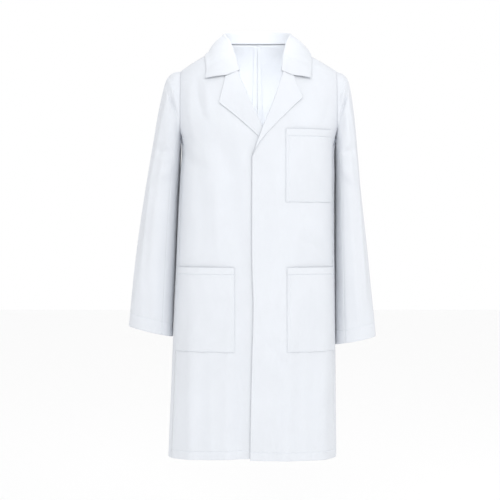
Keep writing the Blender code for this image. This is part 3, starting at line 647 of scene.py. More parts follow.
def make_front(side, name):
    body = name + "_front"
    top = armhole_tip(side)
    c_knots = (top,) + CHEST_C[1:]
    steps = np.linspace(0, len(CHEST_A) - 1, 64)
    a_z = curve(steps, np.arange(len(CHEST_A)), CHEST_A)
    c_z = curve(steps, np.arange(len(CHEST_A)), c_knots)
    cf_hem = HEM_LEFT_CF if side > 0 else HEM_RIGHT_CF
    below = BREAK_L - cf_hem
    down_a = lines(below, 0.0045, (below - HEM, below - 0.0008))[1:]
    down_c = down_a / down_a[-1] * (BREAK_L - HEM_SIDE)
    a_z = np.concatenate([a_z, BREAK_L - down_a])
    c_z = np.concatenate([c_z, BREAK_L - down_c])
    a = angle_of(front_edge_x(a_z, side), a_z)
    a[0] = side * math.pi / 2
    c = side * side_angle(c_z, side)
    c[0] = side * math.pi / 2
    near = (0.0, 0.0003, 0.0008, 0.0016, 0.0030, 0.0046, 0.0054, 0.0060, 0.0066, 0.0074, 0.0100)
    angle, z, from_edge, from_side = across_rows(a, a_z, c, c_z, near, 50)
    whole = np.maximum(from_edge + from_side, 1e-6)
    above_hem = z - (a_z[-1] + (c_z[-1] - a_z[-1]) * from_edge / whole)
    lift = front_lift(side, angle, z)
    lift = lift + rolled(from_edge) + rolled(from_side, 0.0006, 0.0030) + rolled(above_hem, 0.0009, 0.0015)
    lift = lift + groove(above_hem - HEM, 0.0006, 0.0012)
    lift = lift + np.where(z < BREAK_L, groove(from_edge - FRONT_STITCH, 0.0004), 0.0)
    pucker = 0.00035 * np.sin(from_edge / 0.006 * 2 * math.pi + 2 * np.sin(from_edge * 90))
    lift = lift + pucker * np.exp(-(above_hem / 0.030) ** 2)
    angle, z, lift = face_out(side, angle, z, lift)
    obj = trunk_cloth(body + "_panel", angle, z, lift, TWILL)
    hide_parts(name + "_front_chest", name + "_front_skirt")
    hung(obj, body)
    # rows of stitches: front edge and hem
    zs = np.linspace((BREAK_L if side > 0 else BREAK_R) - 0.004, cf_hem + 0.003, 300)
    x = front_edge_x(zs, side) + side * FRONT_STITCH
    lift = front_lift(side, angle_of(x, zs), zs) + HALF - STITCH_SINK
    stitch_on_trunk(body, x, zs, lift)
    t = np.linspace(0.01, 0.995, 160)
    a_end, c_end = float(a[-1]), float(c[-1])
    hem_angle = a_end * (1 - t) + c_end * t
    hem_z = (a_z[-1] * (1 - t) + c_z[-1] * t) + HEM
    lift = front_lift(side, hem_angle, hem_z) + HALF - STITCH_SINK
    stitch_on_trunk(body, hem_angle, hem_z, lift, by_angle=True)


def make_facing(side, name):
    body = name + "_front"
    layer = LAYER_LEFT_FACING - LAYER_LEFT_FRONT if side > 0 else LAYER_RIGHT_FACING
    hem = (HEM_LEFT_CF if side > 0 else HEM_RIGHT_CF) + 0.0015
    zs = np.concatenate([np.linspace(-0.066, -0.276, 48), np.linspace(-0.281, hem, 150)])
    edge = front_edge_x(zs, side)
    at = lines(FACING_WIDTH, 0.005, (FACING_WIDTH - 0.005,))
    at = np.concatenate([[0.0012], at[at > 0.0012]])
    x = edge[:, None] + side * at[None, :]
    z = np.broadcast_to(zs[:, None], x.shape)
    angle = angle_of(x, z)
    lift = front_lift(side, angle, z, layer) - rolled(at[None, :], 0.0004) + rolled(
        FACING_WIDTH - at[None, :], 0.0, 0.001) - groove(FACING_WIDTH - 0.005 - at[None, :], 0.0003)
    angle, z, lift = face_out(side, angle, z, lift)
    obj = trunk_cloth(name + "_facing", angle, z, lift, TWILL_TRIM)
    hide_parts(name + "_facing_upper", name + "_facing_lower")
    hung(obj, body)


def make_fly():
    slot_half, slot_wide = 0.0095, 0.0008
    top = BREAK_L - 0.008
    down = set(np.round(np.arange(0, top - FLY_BOTTOM, 0.005), 5)) | {round(top - FLY_BOTTOM, 5)}
    for b in BUTTON_Z:
        down = {d for d in down if abs(d - (top - b)) > slot_half + 0.002} | {
            round(top - b + d, 5) for d in np.linspace(-slot_half, slot_half, 7)}
    down = np.array(sorted(down))
    zs = top - down
    x0 = front_edge_x(zs, 1) + 0.004
    left = np.linspace(0, 1, 6)[None, :-1]
    mid = np.array((-3.4, -1.8, -1.0, 1.0, 1.8, 3.4))[None, :] * slot_wide
    right = np.linspace(0, 1, 7)[None, 1:]
    hole_x = CENTRE_FRONT_X
    a = x0[:, None] * (1 - left) + (hole_x - 0.0032) * left
    b = np.broadcast_to(hole_x + mid, (len(zs), 6))
    c = (hole_x + 0.0032) * (1 - right) + (x0[:, None] + FLY_WIDTH) * right
    x = np.concatenate([a, b, c], 1)
    z = np.broadcast_to(zs[:, None], x.shape)
    middle = (zs[1:] + zs[:-1]) / 2
    holes = np.zeros((len(zs) - 1, x.shape[1] - 1), bool)
    in_slot = np.array([any(abs(m - b) < slot_half - 1e-4 for b in BUTTON_Z) for m in middle])
    holes[in_slot, 7] = True
    angle = angle_of(x, z)
    lift = overlap_lift(x, z) - (LAYER_LEFT_FRONT - LAYER_FLY)
    lip = np.exp(-((x - hole_x) / 0.0022) ** 2) * np.array(
        [[1.0 if any(abs(q - b) < slot_half + 0.001 for b in BUTTON_Z) else 0.0] for q in zs])
    outer, inner = raised(angle, z, lift + HALF), raised(angle, z, lift - HALF - 0.0003 * lip)
    obj = cloth("fly_strip", outer, inner, TWILL_TRIM, holes=holes)
    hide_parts("fly_strip_upper", "fly_strip_lower")
    hung(obj, "left_front")


# ------------------------------------------------------------------ lapels
# free edges (x, z), from the gorge over the point to the break
LAPEL_L = ((0.0868, -0.0757), (0.0975, -0.1035), (0.1090, -0.1330), (0.0870, -0.1540), (0.0650, -0.1760),
           (0.0430, -0.1985), (0.0210, -0.2215), (0.0040, -0.2440), (-0.0085, -0.2640))
LAPEL_R = ((-0.0787, -0.0804), (-0.0862, -0.1130), (-0.0939, -0.1460), (-0.0740, -0.1620), (-0.0530, -0.1790),
           (-0.0310, -0.1980), (-0.0080, -0.2190), (0.0110, -0.2365), (0.0270, -0.2510))


def run_along(points, marks):
    """Points at shares of a polyline's length."""
    p = np.asarray(points, float)
    run = np.concatenate([[0], np.cumsum(np.linalg.norm(np.diff(p, axis=0), axis=1))])
    return np.stack([np.interp(marks * run[-1], run, p[:, i]) for i in range(p.shape[1])], -1), run / run[-1]


def make_lapel(side, name):
    edge = np.array(LAPEL_L if side > 0 else LAPEL_R)
    knots = run_along(edge, np.array([0.0]))[1]
    rows = np.concatenate([np.linspace(0, knots[2], 16), np.linspace(knots[2], 1, 52)])
    rows = np.unique(np.round(rows, 6))
    outer_edge = run_along(edge, rows)[0]
    end = (BREAK_L if side > 0 else BREAK_R) + 0.004
    roll_z = GORGE_Z + 0.003 + (end - GORGE_Z - 0.003) * np.interp(rows, [0, knots[2], 1], [0, 0.24, 1])
    roll_x = front_edge_x(roll_z, side)
    r = 0.0021
    turn = np.linspace(-math.pi / 2, math.pi / 2, 9)
    # tail inside the front, then round the roll, then out to the free edge
    s_out = np.unique(np.concatenate([np.linspace(0, 1, 16)[1:], [0.90, 0.93, 0.955, 0.975, 0.99]]))
    roll = np.stack([roll_x, roll_z], 1)
    reach = np.linalg.norm(outer_edge - roll, axis=1)
    direction = (outer_edge - roll) / reach[:, None]
    columns, lifts, shares = [], [], []
    for d in (0.012, 0.006, 0.002):
        columns.append(roll + direction * np.minimum(d, reach * 0.8)[:, None])
        lifts.append(np.full(len(rows), -r - 0.0004))
        shares.append(0.0)
    for t in turn:
        columns.append(roll - direction * r * math.cos(t) * 1.2)
        lifts.append(np.full(len(rows), r * math.sin(t)))
        shares.append(0.0)
    for s in s_out:
        columns.append(roll + direction * (reach * s)[:, None])
        from_edge = reach * (1 - s)
        lifts.append(r + 0.0010 * s ** 2 - 0.0004 * math.sin(math.pi * s) + rolled(from_edge, 0.0010, 0.0022)
                     + groove(from_edge - FOLD_STITCH, 0.0004) * (reach > 0.012))
        shares.append(s)
    xz = np.stack(columns, 1)
    lift = np.stack(lifts, 1)
    x, z = xz[..., 0], xz[..., 1]
    angle = angle_of(x, z)
    lift = lift + front_lift(side, angle, z)
    lift = lift + 0.0011 * ripple(x, z, 21 + side, 0.06, 7, 2.0) * np.array(shares)[None, :] ** 2
    lift = lift + 0.0012 * smooth((z - GORGE_Z + 0.022) / 0.014)
    top_edge = np.linalg.norm(xz - xz[:1], axis=-1)
    lift = lift + rolled(top_edge, 0.0008, 0.0020) * (np.array(shares) > 0)[None, :]
    angle, z, lift = face_out(side, angle, z, lift)
    obj = trunk_cloth(name + "_lapel_fold", angle, z, lift, TWILL_TRIM, held="folded")
    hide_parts(name + "_lapel")
    hung(obj, name + "_front")
    marks = np.linspace(0, 0.985, 180)
    inner = run_along(edge, marks)[0]
    back = np.stack([np.interp(marks, rows, roll_x), np.interp(marks, rows, roll_z)], 1) - inner
    width = np.linalg.norm(back, axis=1)
    keep = width > 0.014
    line = (inner + back / width[:, None] * FOLD_STITCH)[keep]
    a = angle_of(line[:, 0], line[:, 1])
    lift = front_lift(side, a, line[:, 1]) + r + 0.0008 + HALF
    lift = lift + 0.0011 * ripple(line[:, 0], line[:, 1], 21 + side, 0.06, 7, 2.0) * 0.85
    stitch_on_trunk(name + "_front", a, line[:, 1], lift - STITCH_SINK, by_angle=True)


# ------------------------------------------------------------------ back
def make_back(side, name):
    neck = 0.46
    top_s = np.concatenate([np.linspace(0, neck, 28), np.linspace(neck, 1, 34)[1:]])
    tip = armhole_tip(side)
    t_z = np.where(top_s <= neck, NECK_BACK_Z + (NECK_POINT_Z - NECK_BACK_Z) * (top_s / neck) ** 2,
                   NECK_POINT_Z + (tip - NECK_POINT_Z) * (top_s - neck) / (1 - neck))
    b_knots = np.array([tip, -0.075, -0.095, -0.118, -0.143, -0.170, -0.197, -0.224, ARMHOLE_BOTTOM + 0.0005,
                        ARMHOLE_BOTTOM - 0.003, -0.300])
    a_knots = np.array([NECK_BACK_Z, -0.022, -0.050, -0.080, -0.110, -0.142, -0.175, -0.208, -0.240,
                        -0.270, -0.310])
    fade_knots = (1.0, 0.72, 0.50, 0.34, 0.20, 0.10, 0.04, 0.0, 0.0, 0.0, 0.0)
    steps = np.linspace(0, 10, 76)
    b_z, a_z = np.interp(steps, np.arange(11), b_knots), np.interp(steps, np.arange(11), a_knots)
    fade = np.interp(steps, np.arange(11), fade_knots)
    length = a_z[-1] - HEM_BACK
    down = lines(length, 0.0046, (length - HEM, length - 0.0008))[1:]
    a_z = np.concatenate([a_z, a_z[-1] - down])
    b_z = np.concatenate([b_z, b_z[-1] - down / down[-1] * (b_z[-1] - HEM_SIDE)])
    fade = np.concatenate([fade, np.zeros(len(down))])[:, None]
    arm = armhole_angle(b_z, side, True)
    turn = smooth((ARMHOLE_BOTTOM + 0.0005 - b_z) / 0.0035)
    b_angle = arm * (1 - turn) + SIDE_SEAM_ANGLE * turn
    b_angle[0] = math.pi / 2
    s = top_s[None, :]
    corner = np.minimum(s / neck, 1.0)
    share = s + (corner - s) * fade
    angle = math.pi * (1 - share) + b_angle[:, None] * share
    z = a_z[:, None] * (1 - s) + b_z[:, None] * s
    z = z + (t_z[None, :] - z[:1]) * fade
    from_seam = (math.pi - angle) * 0.12
    from_side = (angle - b_angle[:, None]) * 0.19
    above_hem = z - (a_z[-1] * (1 - s) + b_z[-1] * s)
    lift = (rolled(from_seam, 0.0010, 0.0030) + rolled(from_side, 0.0011, 0.0030)
            + rolled(above_hem, 0.0009, 0.0015))
    lift = lift + groove(above_hem - HEM, 0.0006, 0.0012)
    angle = side * angle
    angle[:, 0] = side * (math.pi - 0.0004)
    angle, z, lift = face_out(-side, angle, z, lift)
    obj = trunk_cloth(name + "_back_panel", angle, z, lift, TWILL)
    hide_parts(name + "_back")
    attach(obj, "coat")
    t = np.linspace(0.005, 0.995, 220)
    hem_angle = side * (math.pi * (1 - t) + b_angle[-1] * t)
    hem_z = a_z[-1] * (1 - t) + b_z[-1] * t + HEM
    stitch_on_trunk("coat", hem_angle, hem_z, HALF - STITCH_SINK, by_angle=True)


def make_seam_allowance():
    """The centre back seam's pressed-open edges, inside the coat."""
    top = 0.0120
    zs = np.linspace(top, HEM_BACK + 0.004, 230)
    at = np.array((-0.0125, -0.0115, -0.006, -0.0016, -0.0005, 0.0005, 0.0016, 0.006, 0.0115, 0.0125))
    angle = math.pi + at[None, :] / 0.125 + np.zeros((len(zs), 1))
    angle = np.where(angle > math.pi, angle - 2 * math.pi, angle)
    z = np.broadcast_to(zs[:, None], angle.shape)
    lift = -0.0024 - 0.0006 * np.exp(-(np.abs(at[None, :]) / 0.0014) ** 2) + 0.0004 * ripple(
        at[None, :], z, 8, 0.05, 6, 0.6)
    # the ends lie flat where the neck seam holds them
    lift = -0.0010 + (lift + 0.0010) * smooth((top - z) / 0.016)
    for name, part in (("right", slice(5, 10)), ("left", slice(0, 5))):
        obj = trunk_cloth(name + "_back_seam_edge", angle[:, part], z[:, part], lift[:, part], TWILL_TRIM)
        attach(obj, "coat")


# ------------------------------------------------------------------ pockets
POCKET_LIFT = 0.0017             # the patch's middle over the front
CHEST_POCKET_FULL, HIP_POCKET_FULL = 0.0018, 0.0034   # how far the mouths stand out


def make_pocket(name, side, x_in, x_out, z_top, z_bottom, body):
    height = z_top - z_bottom
    if x_out is None:
        out_angle = side * (SIDE_SEAM_ANGLE - 0.012)
    near, far = POCKET_STITCHES
    down = lines(height, 0.0045, (POCKET_HEM, height - near, height - far))
    down = np.unique(np.concatenate([down, [0.0004, 0.0010, height - 0.0004]]))
    zs = z_top - down
    a_in = angle_of(x_in, zs)
    a_out = np.full(len(zs), out_angle) if x_out is None else angle_of(x_out, zs)
    mouth = trunk(np.linspace(a_in[0], a_out[0], 30), zs[0])
    width = float(np.linalg.norm(np.diff(mouth, axis=0), axis=1).sum())
    across = lines(width, 0.0045, (near, far, width - near, width - far))
    across = np.unique(np.concatenate([across, [0.0005, width - 0.0005]]))
    s = (across / width)[None, :]
    angle = a_in[:, None] * (1 - s) + a_out[:, None] * s
    z = np.broadcast_to(zs[:, None], angle.shape)
    to_side = np.minimum(across, width - across)[None, :]
    to_bottom = (height - down)[:, None]
    open_share = smooth(1 - down / (height * 0.9))[:, None]
    full = CHEST_POCKET_FULL if name == "chest_pocket" else HIP_POCKET_FULL
    bulge = full * np.clip(4 * s * (1 - s), 0, 1) ** 0.8 * (0.35 + 0.65 * open_share)
    bulge = bulge * smooth(to_bottom / 0.03)
    lift = POCKET_LIFT + bulge + 0.0006 * smooth((POCKET_HEM - down)[:, None] / 0.0015 + 0.5)
    lift = lift + rolled(to_side, 0.0006, 0.0008) + rolled(to_bottom, 0.0006, 0.0008)
    lift = lift + groove(to_side - near, 0.0004, 0.0009) + groove(to_side - far, 0.0004, 0.0009)
    lift = (lift + groove(to_bottom - near, 0.0004, 0.0009)
            + groove((down - POCKET_HEM)[:, None], 0.0008, 0.0012))
    lift = lift + 0.0006 * ripple(across[None, :], z, 31 + len(name), 0.07, 8, 1.4) * smooth(to_side / 0.02)
    base = front_lift(side, angle, z)
    angle, z, lift = face_out(side, angle, z, base + lift)
    obj = trunk_cloth(name + "_patch", angle, z, lift, TWILL_TRIM, rests_on=(body + "_panel",))
    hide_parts(name)
    hung(obj, body)

    def row(s_at, z_at, extra=0.0):
        s_at, z_at = np.broadcast_arrays(np.asarray(s_at, float), np.asarray(z_at, float))
        a0 = angle_of(x_in, z_at)
        a1 = np.full(z_at.shape, out_angle) if x_out is None else angle_of(x_out, z_at)
        a = a0 * (1 - s_at) + a1 * s_at
        share = smooth(1 - (z_top - z_at) / (height * 0.9))
        rise = full * np.clip(4 * s_at * (1 - s_at), 0, 1) ** 0.8 * (0.35 + 0.65 * share)
        rise = rise * smooth((z_at - z_bottom) / 0.03) + POCKET_LIFT + extra + HALF - 0.0002
        stitch_on_trunk(body, a, z_at, front_lift(side, a, z_at) + rise, by_angle=True)

    sides = np.linspace(z_top - 0.001, z_bottom + 0.002, 90)
    for inset in POCKET_STITCHES:
        row(inset / width, sides)
        row(1 - inset / width, sides)
    between = np.linspace(near / width, 1 - near / width, 70)
    row(between, z_bottom + near)
    row(between, z_top - POCKET_HEM, 0.0003)


# ------------------------------------------------------------------ collar
COLLAR_EDGE = (
    (0.0, 0.1060, 0.0020), (0.046, 0.1000, 0.0000), (0.092, 0.0740, -0.0050), (0.1240, 0.0260, -0.0110),
    (0.1325, -0.0200, -0.0180), (0.1335, -0.0560, -0.0360), (0.1315, -0.0810, -0.0600),
    (0.1300, -0.0985, -0.0840))
COLLAR_LAYER = 0.0005            # each collar layer's middle, from the middle of the two


def mirrored_curve(points, count):
    p = np.array(points)
    q = np.concatenate([(p * (-1, 1, 1))[:0:-1], p])
    steps = np.linspace(-(len(p) - 1), len(p) - 1, count)
    return curve(steps, np.arange(-(len(p) - 1), len(p)), q)


def clear_of_trunk(p, gap):
    x, y, z = p[..., 0], p[..., 1], p[..., 2]
    s = trunk(np.arctan2(x, -y), z)
    k = np.maximum(1.0, (np.hypot(s[..., 0], s[..., 1]) + gap) / np.maximum(np.hypot(x, y), 1e-9))
    return np.stack([x * k, y * k, z], -1)


def neckline(count):
    """Points of the collar's seam from -X round the back to +X, with frames."""
    s = np.linspace(-1, 1, count)
    u, side = np.abs(s), np.where(s < 0, -1, 1)
    back = np.clip(u / 0.5, 0, 1)
    front = np.clip((u - 0.5) / 0.5, 0, 1)
    z = np.where(u <= 0.5, NECK_BACK_Z + (NECK_POINT_Z - NECK_BACK_Z) * back ** 2,
                 NECK_POINT_Z + (GORGE_Z - NECK_POINT_Z) * front)
    x_front = np.where(side > 0, curve(z, *ROLL_L), curve(z, *ROLL_R))
    angle = np.where(u <= 0.5, side * (math.pi - math.pi / 2 * back), angle_of(x_front, z))
    base = trunk(angle, z)
    out = raised(angle, z, 1.0, folded=False) - base
    along = np.gradient(base, axis=0)
    along /= np.linalg.norm(along, axis=1, keepdims=True)
    rise = np.cross(out, along)
    rise /= np.linalg.norm(rise, axis=1, keepdims=True)
    rise *= np.where((rise * (base * (-1, -1, 0) + (0, 0, 0.08))).sum(1) < 0, -1, 1)[:, None]
    upright = (0.85 * (1 - smooth((u - 0.35) / 0.6)))[:, None]
    rise = rise * (1 - upright) + np.array((0, 0, 1.0)) * upright
    rise /= np.linalg.norm(rise, axis=1, keepdims=True)
    out -= rise * (out * rise).sum(1, keepdims=True)
    out /= np.linalg.norm(out, axis=1, keepdims=True)
    # soften the frames so that the cloth has no kinks
    for _ in range(14):
        for field in (rise, out):
            field[1:-1] = (field[:-2] + 2 * field[1:-1] + field[2:]) / 4
            field /= np.linalg.norm(field, axis=1, keepdims=True)
    for _ in range(6):
        base[1:-1] = (base[:-2] + 2 * base[1:-1] + base[2:]) / 4
    return s, base, rise, out


def make_collar():
    count = 141
    s, base, rise, out = neckline(count)
    u = np.abs(s)
    r = (0.0030 - 0.0010 * smooth((u - 0.75) / 0.25))[:, None]
    edge = mirrored_curve(COLLAR_EDGE, count)
    edge[:, 0] += COLLAR_NARROWER * smooth((-s - 0.25) / 0.3) * (1 - 0.8 * smooth((-s - 0.8) / 0.2))
    stand = curve(u, (0, 0.25, 0.5, 0.75, 1.0), (0.0300, 0.0290, 0.0240, 0.0130, 0.0040))[:, None]
    low = base + rise * 0.0022
    fold = low + rise * stand
    inner = fold - rise * r
    rows = [low + (inner - low) * t for t in np.linspace(0, 1, 8)]
    for turn in np.linspace(0, math.pi, 11)[1:]:
        rows.append(fold - rise * r + out * r + r * (-math.cos(turn) * out + math.sin(turn) * rise))
    outer = rows[-1]
    fall = np.unique(np.concatenate([np.linspace(0, 1, 15)[1:], [NOTCH_SHARE, 0.90, 0.96, 0.985]]))
    near_end = smooth((u - 0.86) / 0.14)
    for f in fall:
        p = outer * (1 - f) + edge * f + out * 0.005 * 4 * f * (1 - f)
        p[:, 2] -= NOTCH_DROP * near_end * np.interp(f, [0, NOTCH_SHARE, 1], [0, 1, 0])
        sewn = smooth((u - 0.93) / 0.07) * smooth((NOTCH_SHARE + 0.10 - f) / 0.12)
        rows.append(clear_of_trunk(p, 0.0062 - 0.0026 * sewn))
    grid = np.stack(rows)[:, ::-1]
    s, u = s[::-1], u[::-1]
    down, across = np.gradient(grid, axis=0), np.gradient(grid, axis=1)
    n = np.cross(down, across)
    n /= np.linalg.norm(n, axis=-1, keepdims=True)
    fall_rows = len(rows) - len(fall)
    depth = np.linalg.norm(grid - grid[-1:], axis=-1)
    first_half = (np.arange(count) < count // 2)[None, :, None]
    end = np.linalg.norm(grid - np.where(first_half, grid[:, :1], grid[:, -1:]), axis=-1)
    is_fall = (np.arange(len(rows)) >= fall_rows)[:, None]
    shape = np.where(is_fall, rolled(depth, 0.0009, 0.0022) + rolled(end, 0.0009, 0.0022)
                     + groove(depth - FOLD_STITCH, 0.0003) + groove(end - FOLD_STITCH, 0.0003), 0.0)
    wave = 0.0008 * ripple(s[None, :] * 0.35, depth, 77, 0.07, 7, 1.5) * np.clip(is_fall, 0, 1)
    # a soft vertical crease on each end of the fall
    crease = -0.0022 * np.exp(-((u[None, :] - 0.80) / 0.028) ** 2) * is_fall * smooth(depth / 0.03)
    for name, lift in (("under_collar", -COLLAR_LAYER), ("upper_collar", COLLAR_LAYER)):
        h = lift + wave + crease + (shape if lift > 0 else 0.0)
        outer, inner = grid + n * (h + HALF)[..., None], grid + n * (h - HALF)[..., None]
        obj = cloth(name + "_cloth", outer, inner, TWILL_TRIM, held="folded")
        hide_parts(name)
        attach(obj, "coat")
    top = grid + n * (COLLAR_LAYER + wave + crease + shape + HALF)[..., None]
    # stitches along the outer edge
    col = np.arange(3, count - 3)
    line = []
    for c in col:
        t = np.interp(FOLD_STITCH, depth[fall_rows:, c][::-1], np.arange(len(fall))[::-1])
        i = int(np.clip(math.floor(t), 0, len(fall) - 2))
        line.append(top[fall_rows + i, c] * (1 - (t - i)) + top[fall_rows + i + 1, c] * (t - i))
    stitch("coat", np.array(line), np.array([n[-3, c] for c in col]))


# ------------------------------------------------------------------ sleeves
SLEEVE_L = (
    (0.199, None, 0.199, None), (0.2155, -0.068, 0.1998, -0.2485), (0.227, -0.086, 0.2002, -0.255),
    (0.234, -0.12, 0.2003, -0.265), (0.242, -0.175, 0.2003, -0.283), (0.249, -0.245, 0.2003, -0.315),
    (0.257, -0.33, 0.2003, -0.372), (0.2665, -0.425, 0.2003, -0.455), (0.2765, -0.52, 0.2003, -0.548),
    (0.2865, -0.62, 0.2003, -0.645), (0.2965, -0.72, 0.2003, -0.741))
SLEEVE_R = (
    (0.194, None, 0.194, None), (0.212, -0.064, 0.1948, -0.2485), (0.2275, -0.082, 0.1953, -0.255),
    (0.237, -0.115, 0.1958, -0.265), (0.2495, -0.172, 0.1968, -0.283), (0.262, -0.242, 0.1985, -0.315),
    (0.276, -0.325, 0.2014, -0.37), (0.29, -0.415, 0.205, -0.448), (0.302, -0.505, 0.2087, -0.535),
    (0.313, -0.6, 0.2126, -0.628), (0.3225, -0.695, 0.2165, -0.7215))
SLEEVE_DEPTH = (0.0700, 0.0720, 0.0765, 0.0800, 0.0828, 0.0835, 0.0815, 0.0765, 0.0690, 0.0580, 0.0475)
SLEEVE_MIDDLE = (0.0, 0.0050, 0.0060, 0.0080, 0.0110, 0.0145, 0.0170, 0.0165, 0.0145, 0.0110, 0.0080)
TOP_SLEEVE_FRONT, TOP_SLEEVE_BACK = math.radians(122), math.radians(112)
INNER_PULL_L, INNER_PULL_R = 0.0072, 0.0046    # how far a sleeve's inner side sags to the body
RING_STEP = 0.065                # from one ring of the tables to the next, along the arm
RING_STEP_CUFF = 0.0655          # the same near the cuff
SLEEVE_RADIUS = 0.06             # turns a turn round the arm into a distance
CUFF_STITCH = 0.338              # from the cuff, in rings
SLEEVE_FOLD_GAIN = 1.45
# drags from the armhole, creases inside the elbow and a long pressed crease:
# points (round the arm, down it), width and height
SLEEVE_FOLDS = (
    (((0.118, 0.02), (0.085, 0.09), (0.040, 0.15)), 0.009, -0.0036),
    (((0.095, 0.02), (0.062, 0.08), (0.020, 0.12)), 0.009, 0.0030),
    (((0.130, 0.28), (0.085, 0.31), (0.045, 0.33)), 0.010, -0.0040),
    (((0.135, 0.33), (0.090, 0.37), (0.050, 0.40)), 0.011, 0.0030),
    (((0.062, 0.10), (0.056, 0.25), (0.054, 0.42), (0.058, 0.60)), 0.010, 0.0034),
    (((0.040, 0.12), (0.036, 0.28), (0.034, 0.45), (0.036, 0.60)), 0.012, -0.0030),
    (((-0.10, 0.26), (-0.06, 0.30), (0.0, 0.33)), 0.010, -0.0030))
SEWN_X = 0.0034                  # how far the visible sleeve is drawn in to its armhole


def sleeve_table(side):
    top, low = armhole_tip(side), armhole_end(side, -0.26, -0.15, True)
    rows = [list(r) for r in (SLEEVE_L if side > 0 else SLEEVE_R)]
    rows[0][1], rows[0][3] = top, low
    rows[0][0] -= SEWN_X
    rows[0][2] -= SEWN_X
    return np.array(rows), top, low


def sleeve_point(side, k, turn, lift):
    """Point of a sleeve: k counts rings from the armhole, turn 0 is outermost, + is forward."""
    table, top, low = sleeve_table(side)
    k, turn = np.broadcast_arrays(np.asarray(k, float), np.asarray(turn, float))
    row = curve(k, np.arange(len(table)), table)
    ox, oz, ix, iz = [row[..., i] for i in range(4)]
    u, v = np.cos(turn), np.sin(turn)
    h_z = (top + low) / 2 + (top - low) / 2 * u
    x0 = armhole_x(side)
    n = curve(h_z, Z_KNOTS, FULLNESS)
    half = np.maximum(half_width(h_z, side), x0)
    rest = (1 - (x0 / half) ** n) ** (1 / n)
    hole_y = np.where(v >= 0, -curve(h_z, Z_KNOTS, FRONT_DEPTH), curve(h_z, Z_KNOTS, BACK_DEPTH)) * rest
    depth = curve(k, np.arange(len(table)), SLEEVE_DEPTH)
    middle = curve(k, np.arange(len(table)), SLEEVE_MIDDLE)
    full_y = middle - depth * np.sign(v) * np.abs(v) ** 0.9
    share = smooth(k / 4.0)
    y = hole_y * (1 - share) + full_y * share
    dx, dz = ox - ix, oz - iz
    size = np.hypot(dx, dz)
    px = (ox + ix) / 2 + (size / 2) * u * dx / size
    pz = (oz + iz) / 2 + (size / 2) * u * dz / size
    pull = INNER_PULL_L if side > 0 else INNER_PULL_R
    px = px - pull * smooth((0.15 - u) / 0.9) * smooth(k / 1.6)
    p = np.stack([px, y, pz], -1)
    out = np.stack([u * dx / size, -v * size / (2 * np.maximum(depth, 0.01)), u * dz / size], -1)
    out /= np.maximum(np.linalg.norm(out, axis=-1, keepdims=True), 1e-9)
    length, round_arm = k * RING_STEP, turn * SLEEVE_RADIUS
    away = smooth((length - 0.01) / 0.05)
    h = 0.0011 * ripple(round_arm, length, 41 + side, 0.09, 10, 2.4)
    for fold in SLEEVE_FOLDS:
        h = h + ridge(round_arm, length, *fold)
    outside = 0.35 + 0.65 * smooth((u + 0.75) / 0.5)
    h = SLEEVE_FOLD_GAIN * h * away * smooth((0.66 - length) / 0.06) * outside
    p = p + out * (np.asarray(lift) + h)[..., None]
    p[..., 0] *= side
    out[..., 0] *= side
    return p, out


def make_sleeve(side, name):
    body = name + "_sleeve"
    near_cuff = np.array([0.355, 0.343, CUFF_STITCH, 0.333, 0.321, 0.28, 0.2, 0.12, 0.05, 0.02, 0.006, 0.0])
    ks = np.concatenate([[0.0, 0.012, 0.03, 0.06, 0.1], np.linspace(0.16, 9.60, 150), 10 - near_cuff])
    stitch_k = 10 - CUFF_STITCH
    front, back = TOP_SLEEVE_FRONT, TOP_SLEEVE_BACK
    parts = (("_top_panel", ("_top_sleeve_upper", "_top_sleeve_lower"), -back, front, 74),
             ("_under_panel", ("_under_sleeve",), front, 2 * math.pi - back, 48))
    for suffix, nodes, t0, t1, count in parts:
        edge = np.array((0.0, 0.004, 0.012, 0.028, 0.05))
        turn = np.unique(np.concatenate([t0 + edge, np.linspace(t0 + 0.08, t1 - 0.08, count), t1 - edge]))
        k, t = np.meshgrid(ks, turn, indexing="ij")
        length = k * RING_STEP
        to_seam = np.minimum(t - t0, t1 - t) * SLEEVE_RADIUS
        to_cuff = (10 - k) * RING_STEP_CUFF
        lift = rolled(to_seam, 0.0009, 0.0026) + rolled(to_cuff, 0.0009, 0.0016)
        lift = lift - 0.0010 * np.exp(-length / 0.0030)
        lift = lift + groove((k - stitch_k) * RING_STEP_CUFF, 0.0006, 0.0012)
        outer = sleeve_point(side, k, t, lift)[0]
        inner = sleeve_point(side, k, t, lift - CLOTH)[0]
        outer, inner = face_out(-side, outer, inner)
        obj = cloth(body + suffix, outer, inner, TWILL)
        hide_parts(*(name + node for node in nodes))
        hung(obj, body)
    turn = np.linspace(0, 2 * math.pi, 260)
    p, n = sleeve_point(side, np.full(260, stitch_k), turn, 0.0)
    stitch(body, p - n * 0.0004, n)


# ------------------------------------------------------------------ buttons
BUTTON_SECTORS, BUTTON_WALL, BUTTON_HOLE_SHARE = 32, 0.0011, 0.28
# shares of the radius and of the height, from the underside's edge to the middle
BUTTON_PROFILE = ((0.93, 0.0), (1.0, 0.35), (0.985, 0.7), (0.93, 0.95), (0.84, 1.0), (0.74, 0.92),
                  (0.66, 0.72), (0.46, 0.66), (0.36, 0.66), (0.20, 0.66), (0.10, 0.66))


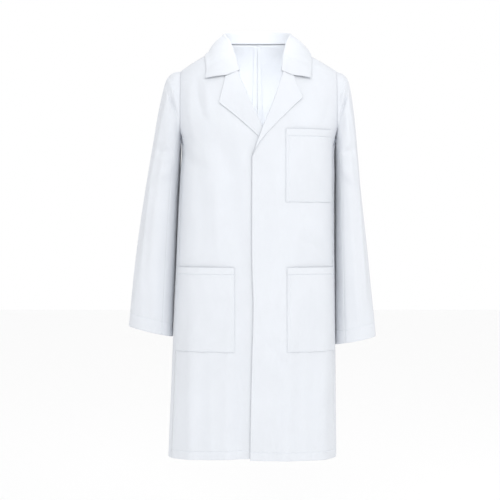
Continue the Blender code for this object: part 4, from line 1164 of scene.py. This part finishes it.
def make_button(index, z0):
    """Four-hole button with its cross of thread, lying behind the fly strip."""
    def at(x, z, lift):
        return raised(angle_of(x, z), z, lift)

    centre = at(CENTRE_FRONT_X, z0, HALF + 0.0002)
    up = at(CENTRE_FRONT_X, z0 + 0.005, 0.0) - at(CENTRE_FRONT_X, z0 - 0.005, 0.0)
    up /= np.linalg.norm(up)
    out = at(CENTRE_FRONT_X, z0, 1.0) - at(CENTRE_FRONT_X, z0, 0.0)
    out -= up * out.dot(up)
    out /= np.linalg.norm(out)
    right = np.cross(up, out)
    sectors = BUTTON_SECTORS
    turn = np.arange(sectors) / sectors * 2 * math.pi
    spin = np.cos(turn)[:, None] * right + np.sin(turn)[:, None] * up
    rings = [centre + BUTTON_R * r * spin + out * BUTTON_T * 0.85 * h for r, h in BUTTON_PROFILE]
    faces = []
    hole_ring = len(rings) - 3
    for r in range(len(rings) - 1):
        for c in range(sectors):
            if r == hole_ring and (c + 2) % 8 < 3:
                continue            # one of the four holes
            d = (c + 1) % sectors
            low, high = r * sectors, (r + 1) * sectors
            faces.append((low + c, low + d, high + d, high + c))
    last = (len(rings) - 1) * sectors
    faces.append(tuple(last + c for c in range(sectors)))
    obj = link("button_%d_disc" % index, np.concatenate(rings), faces, PLASTIC)
    work = bmesh.new()
    work.from_mesh(obj.data)
    bmesh.ops.recalc_face_normals(work, faces=work.faces)
    work.to_mesh(obj.data)
    work.free()
    solid = obj.modifiers.new("thickness", "SOLIDIFY")
    solid.thickness = BUTTON_WALL
    solid.offset = -1
    bpy.context.view_layer.objects.active = obj
    with bpy.context.temp_override(object=obj, active_object=obj, selected_objects=[obj]):
        bpy.ops.object.modifier_apply(modifier="thickness")
    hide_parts("button_%d" % index)
    hung(obj, "right_front")
    hole = BUTTON_R * BUTTON_HOLE_SHARE
    for a in (0.25, 0.75):
        ends = [centre + out * BUTTON_T * 0.62
                + hole * (math.cos(q * math.pi) * right + math.sin(q * math.pi) * up) for q in (a, a + 1.0)]
        mid = np.linspace(0, 1, 6)[:, None]
        p = ends[0] * (1 - mid) + ends[1] * mid + out * 0.0004 * np.sin(mid * math.pi)
        stitch("right_front", p, np.repeat(out[None], 6, 0), pitch=2 * hole * 0.98, radius=0.00035)


# ------------------------------------------------------------------ build
make_camera()
make_studio()
for side, name in ((1, "left"), (-1, "right")):
    make_back(side, name)
    make_front(side, name)
    make_facing(side, name)
    make_lapel(side, name)
    make_sleeve(side, name)
make_seam_allowance()
make_fly()
make_collar()
make_pocket("chest_pocket", 1, *CHEST_POCKET_X, *CHEST_POCKET_Z, "left_front")
make_pocket("left_pocket", 1, HIP_POCKET_IN_L, None, *HIP_POCKET_Z, "left_front")
make_pocket("right_pocket", -1, HIP_POCKET_IN_R, None, *HIP_POCKET_Z, "right_front")
for number, height in enumerate(BUTTON_Z):
    make_button(number + 1, height)
for group, thread in make_stitches().items():
    hung(thread, group)
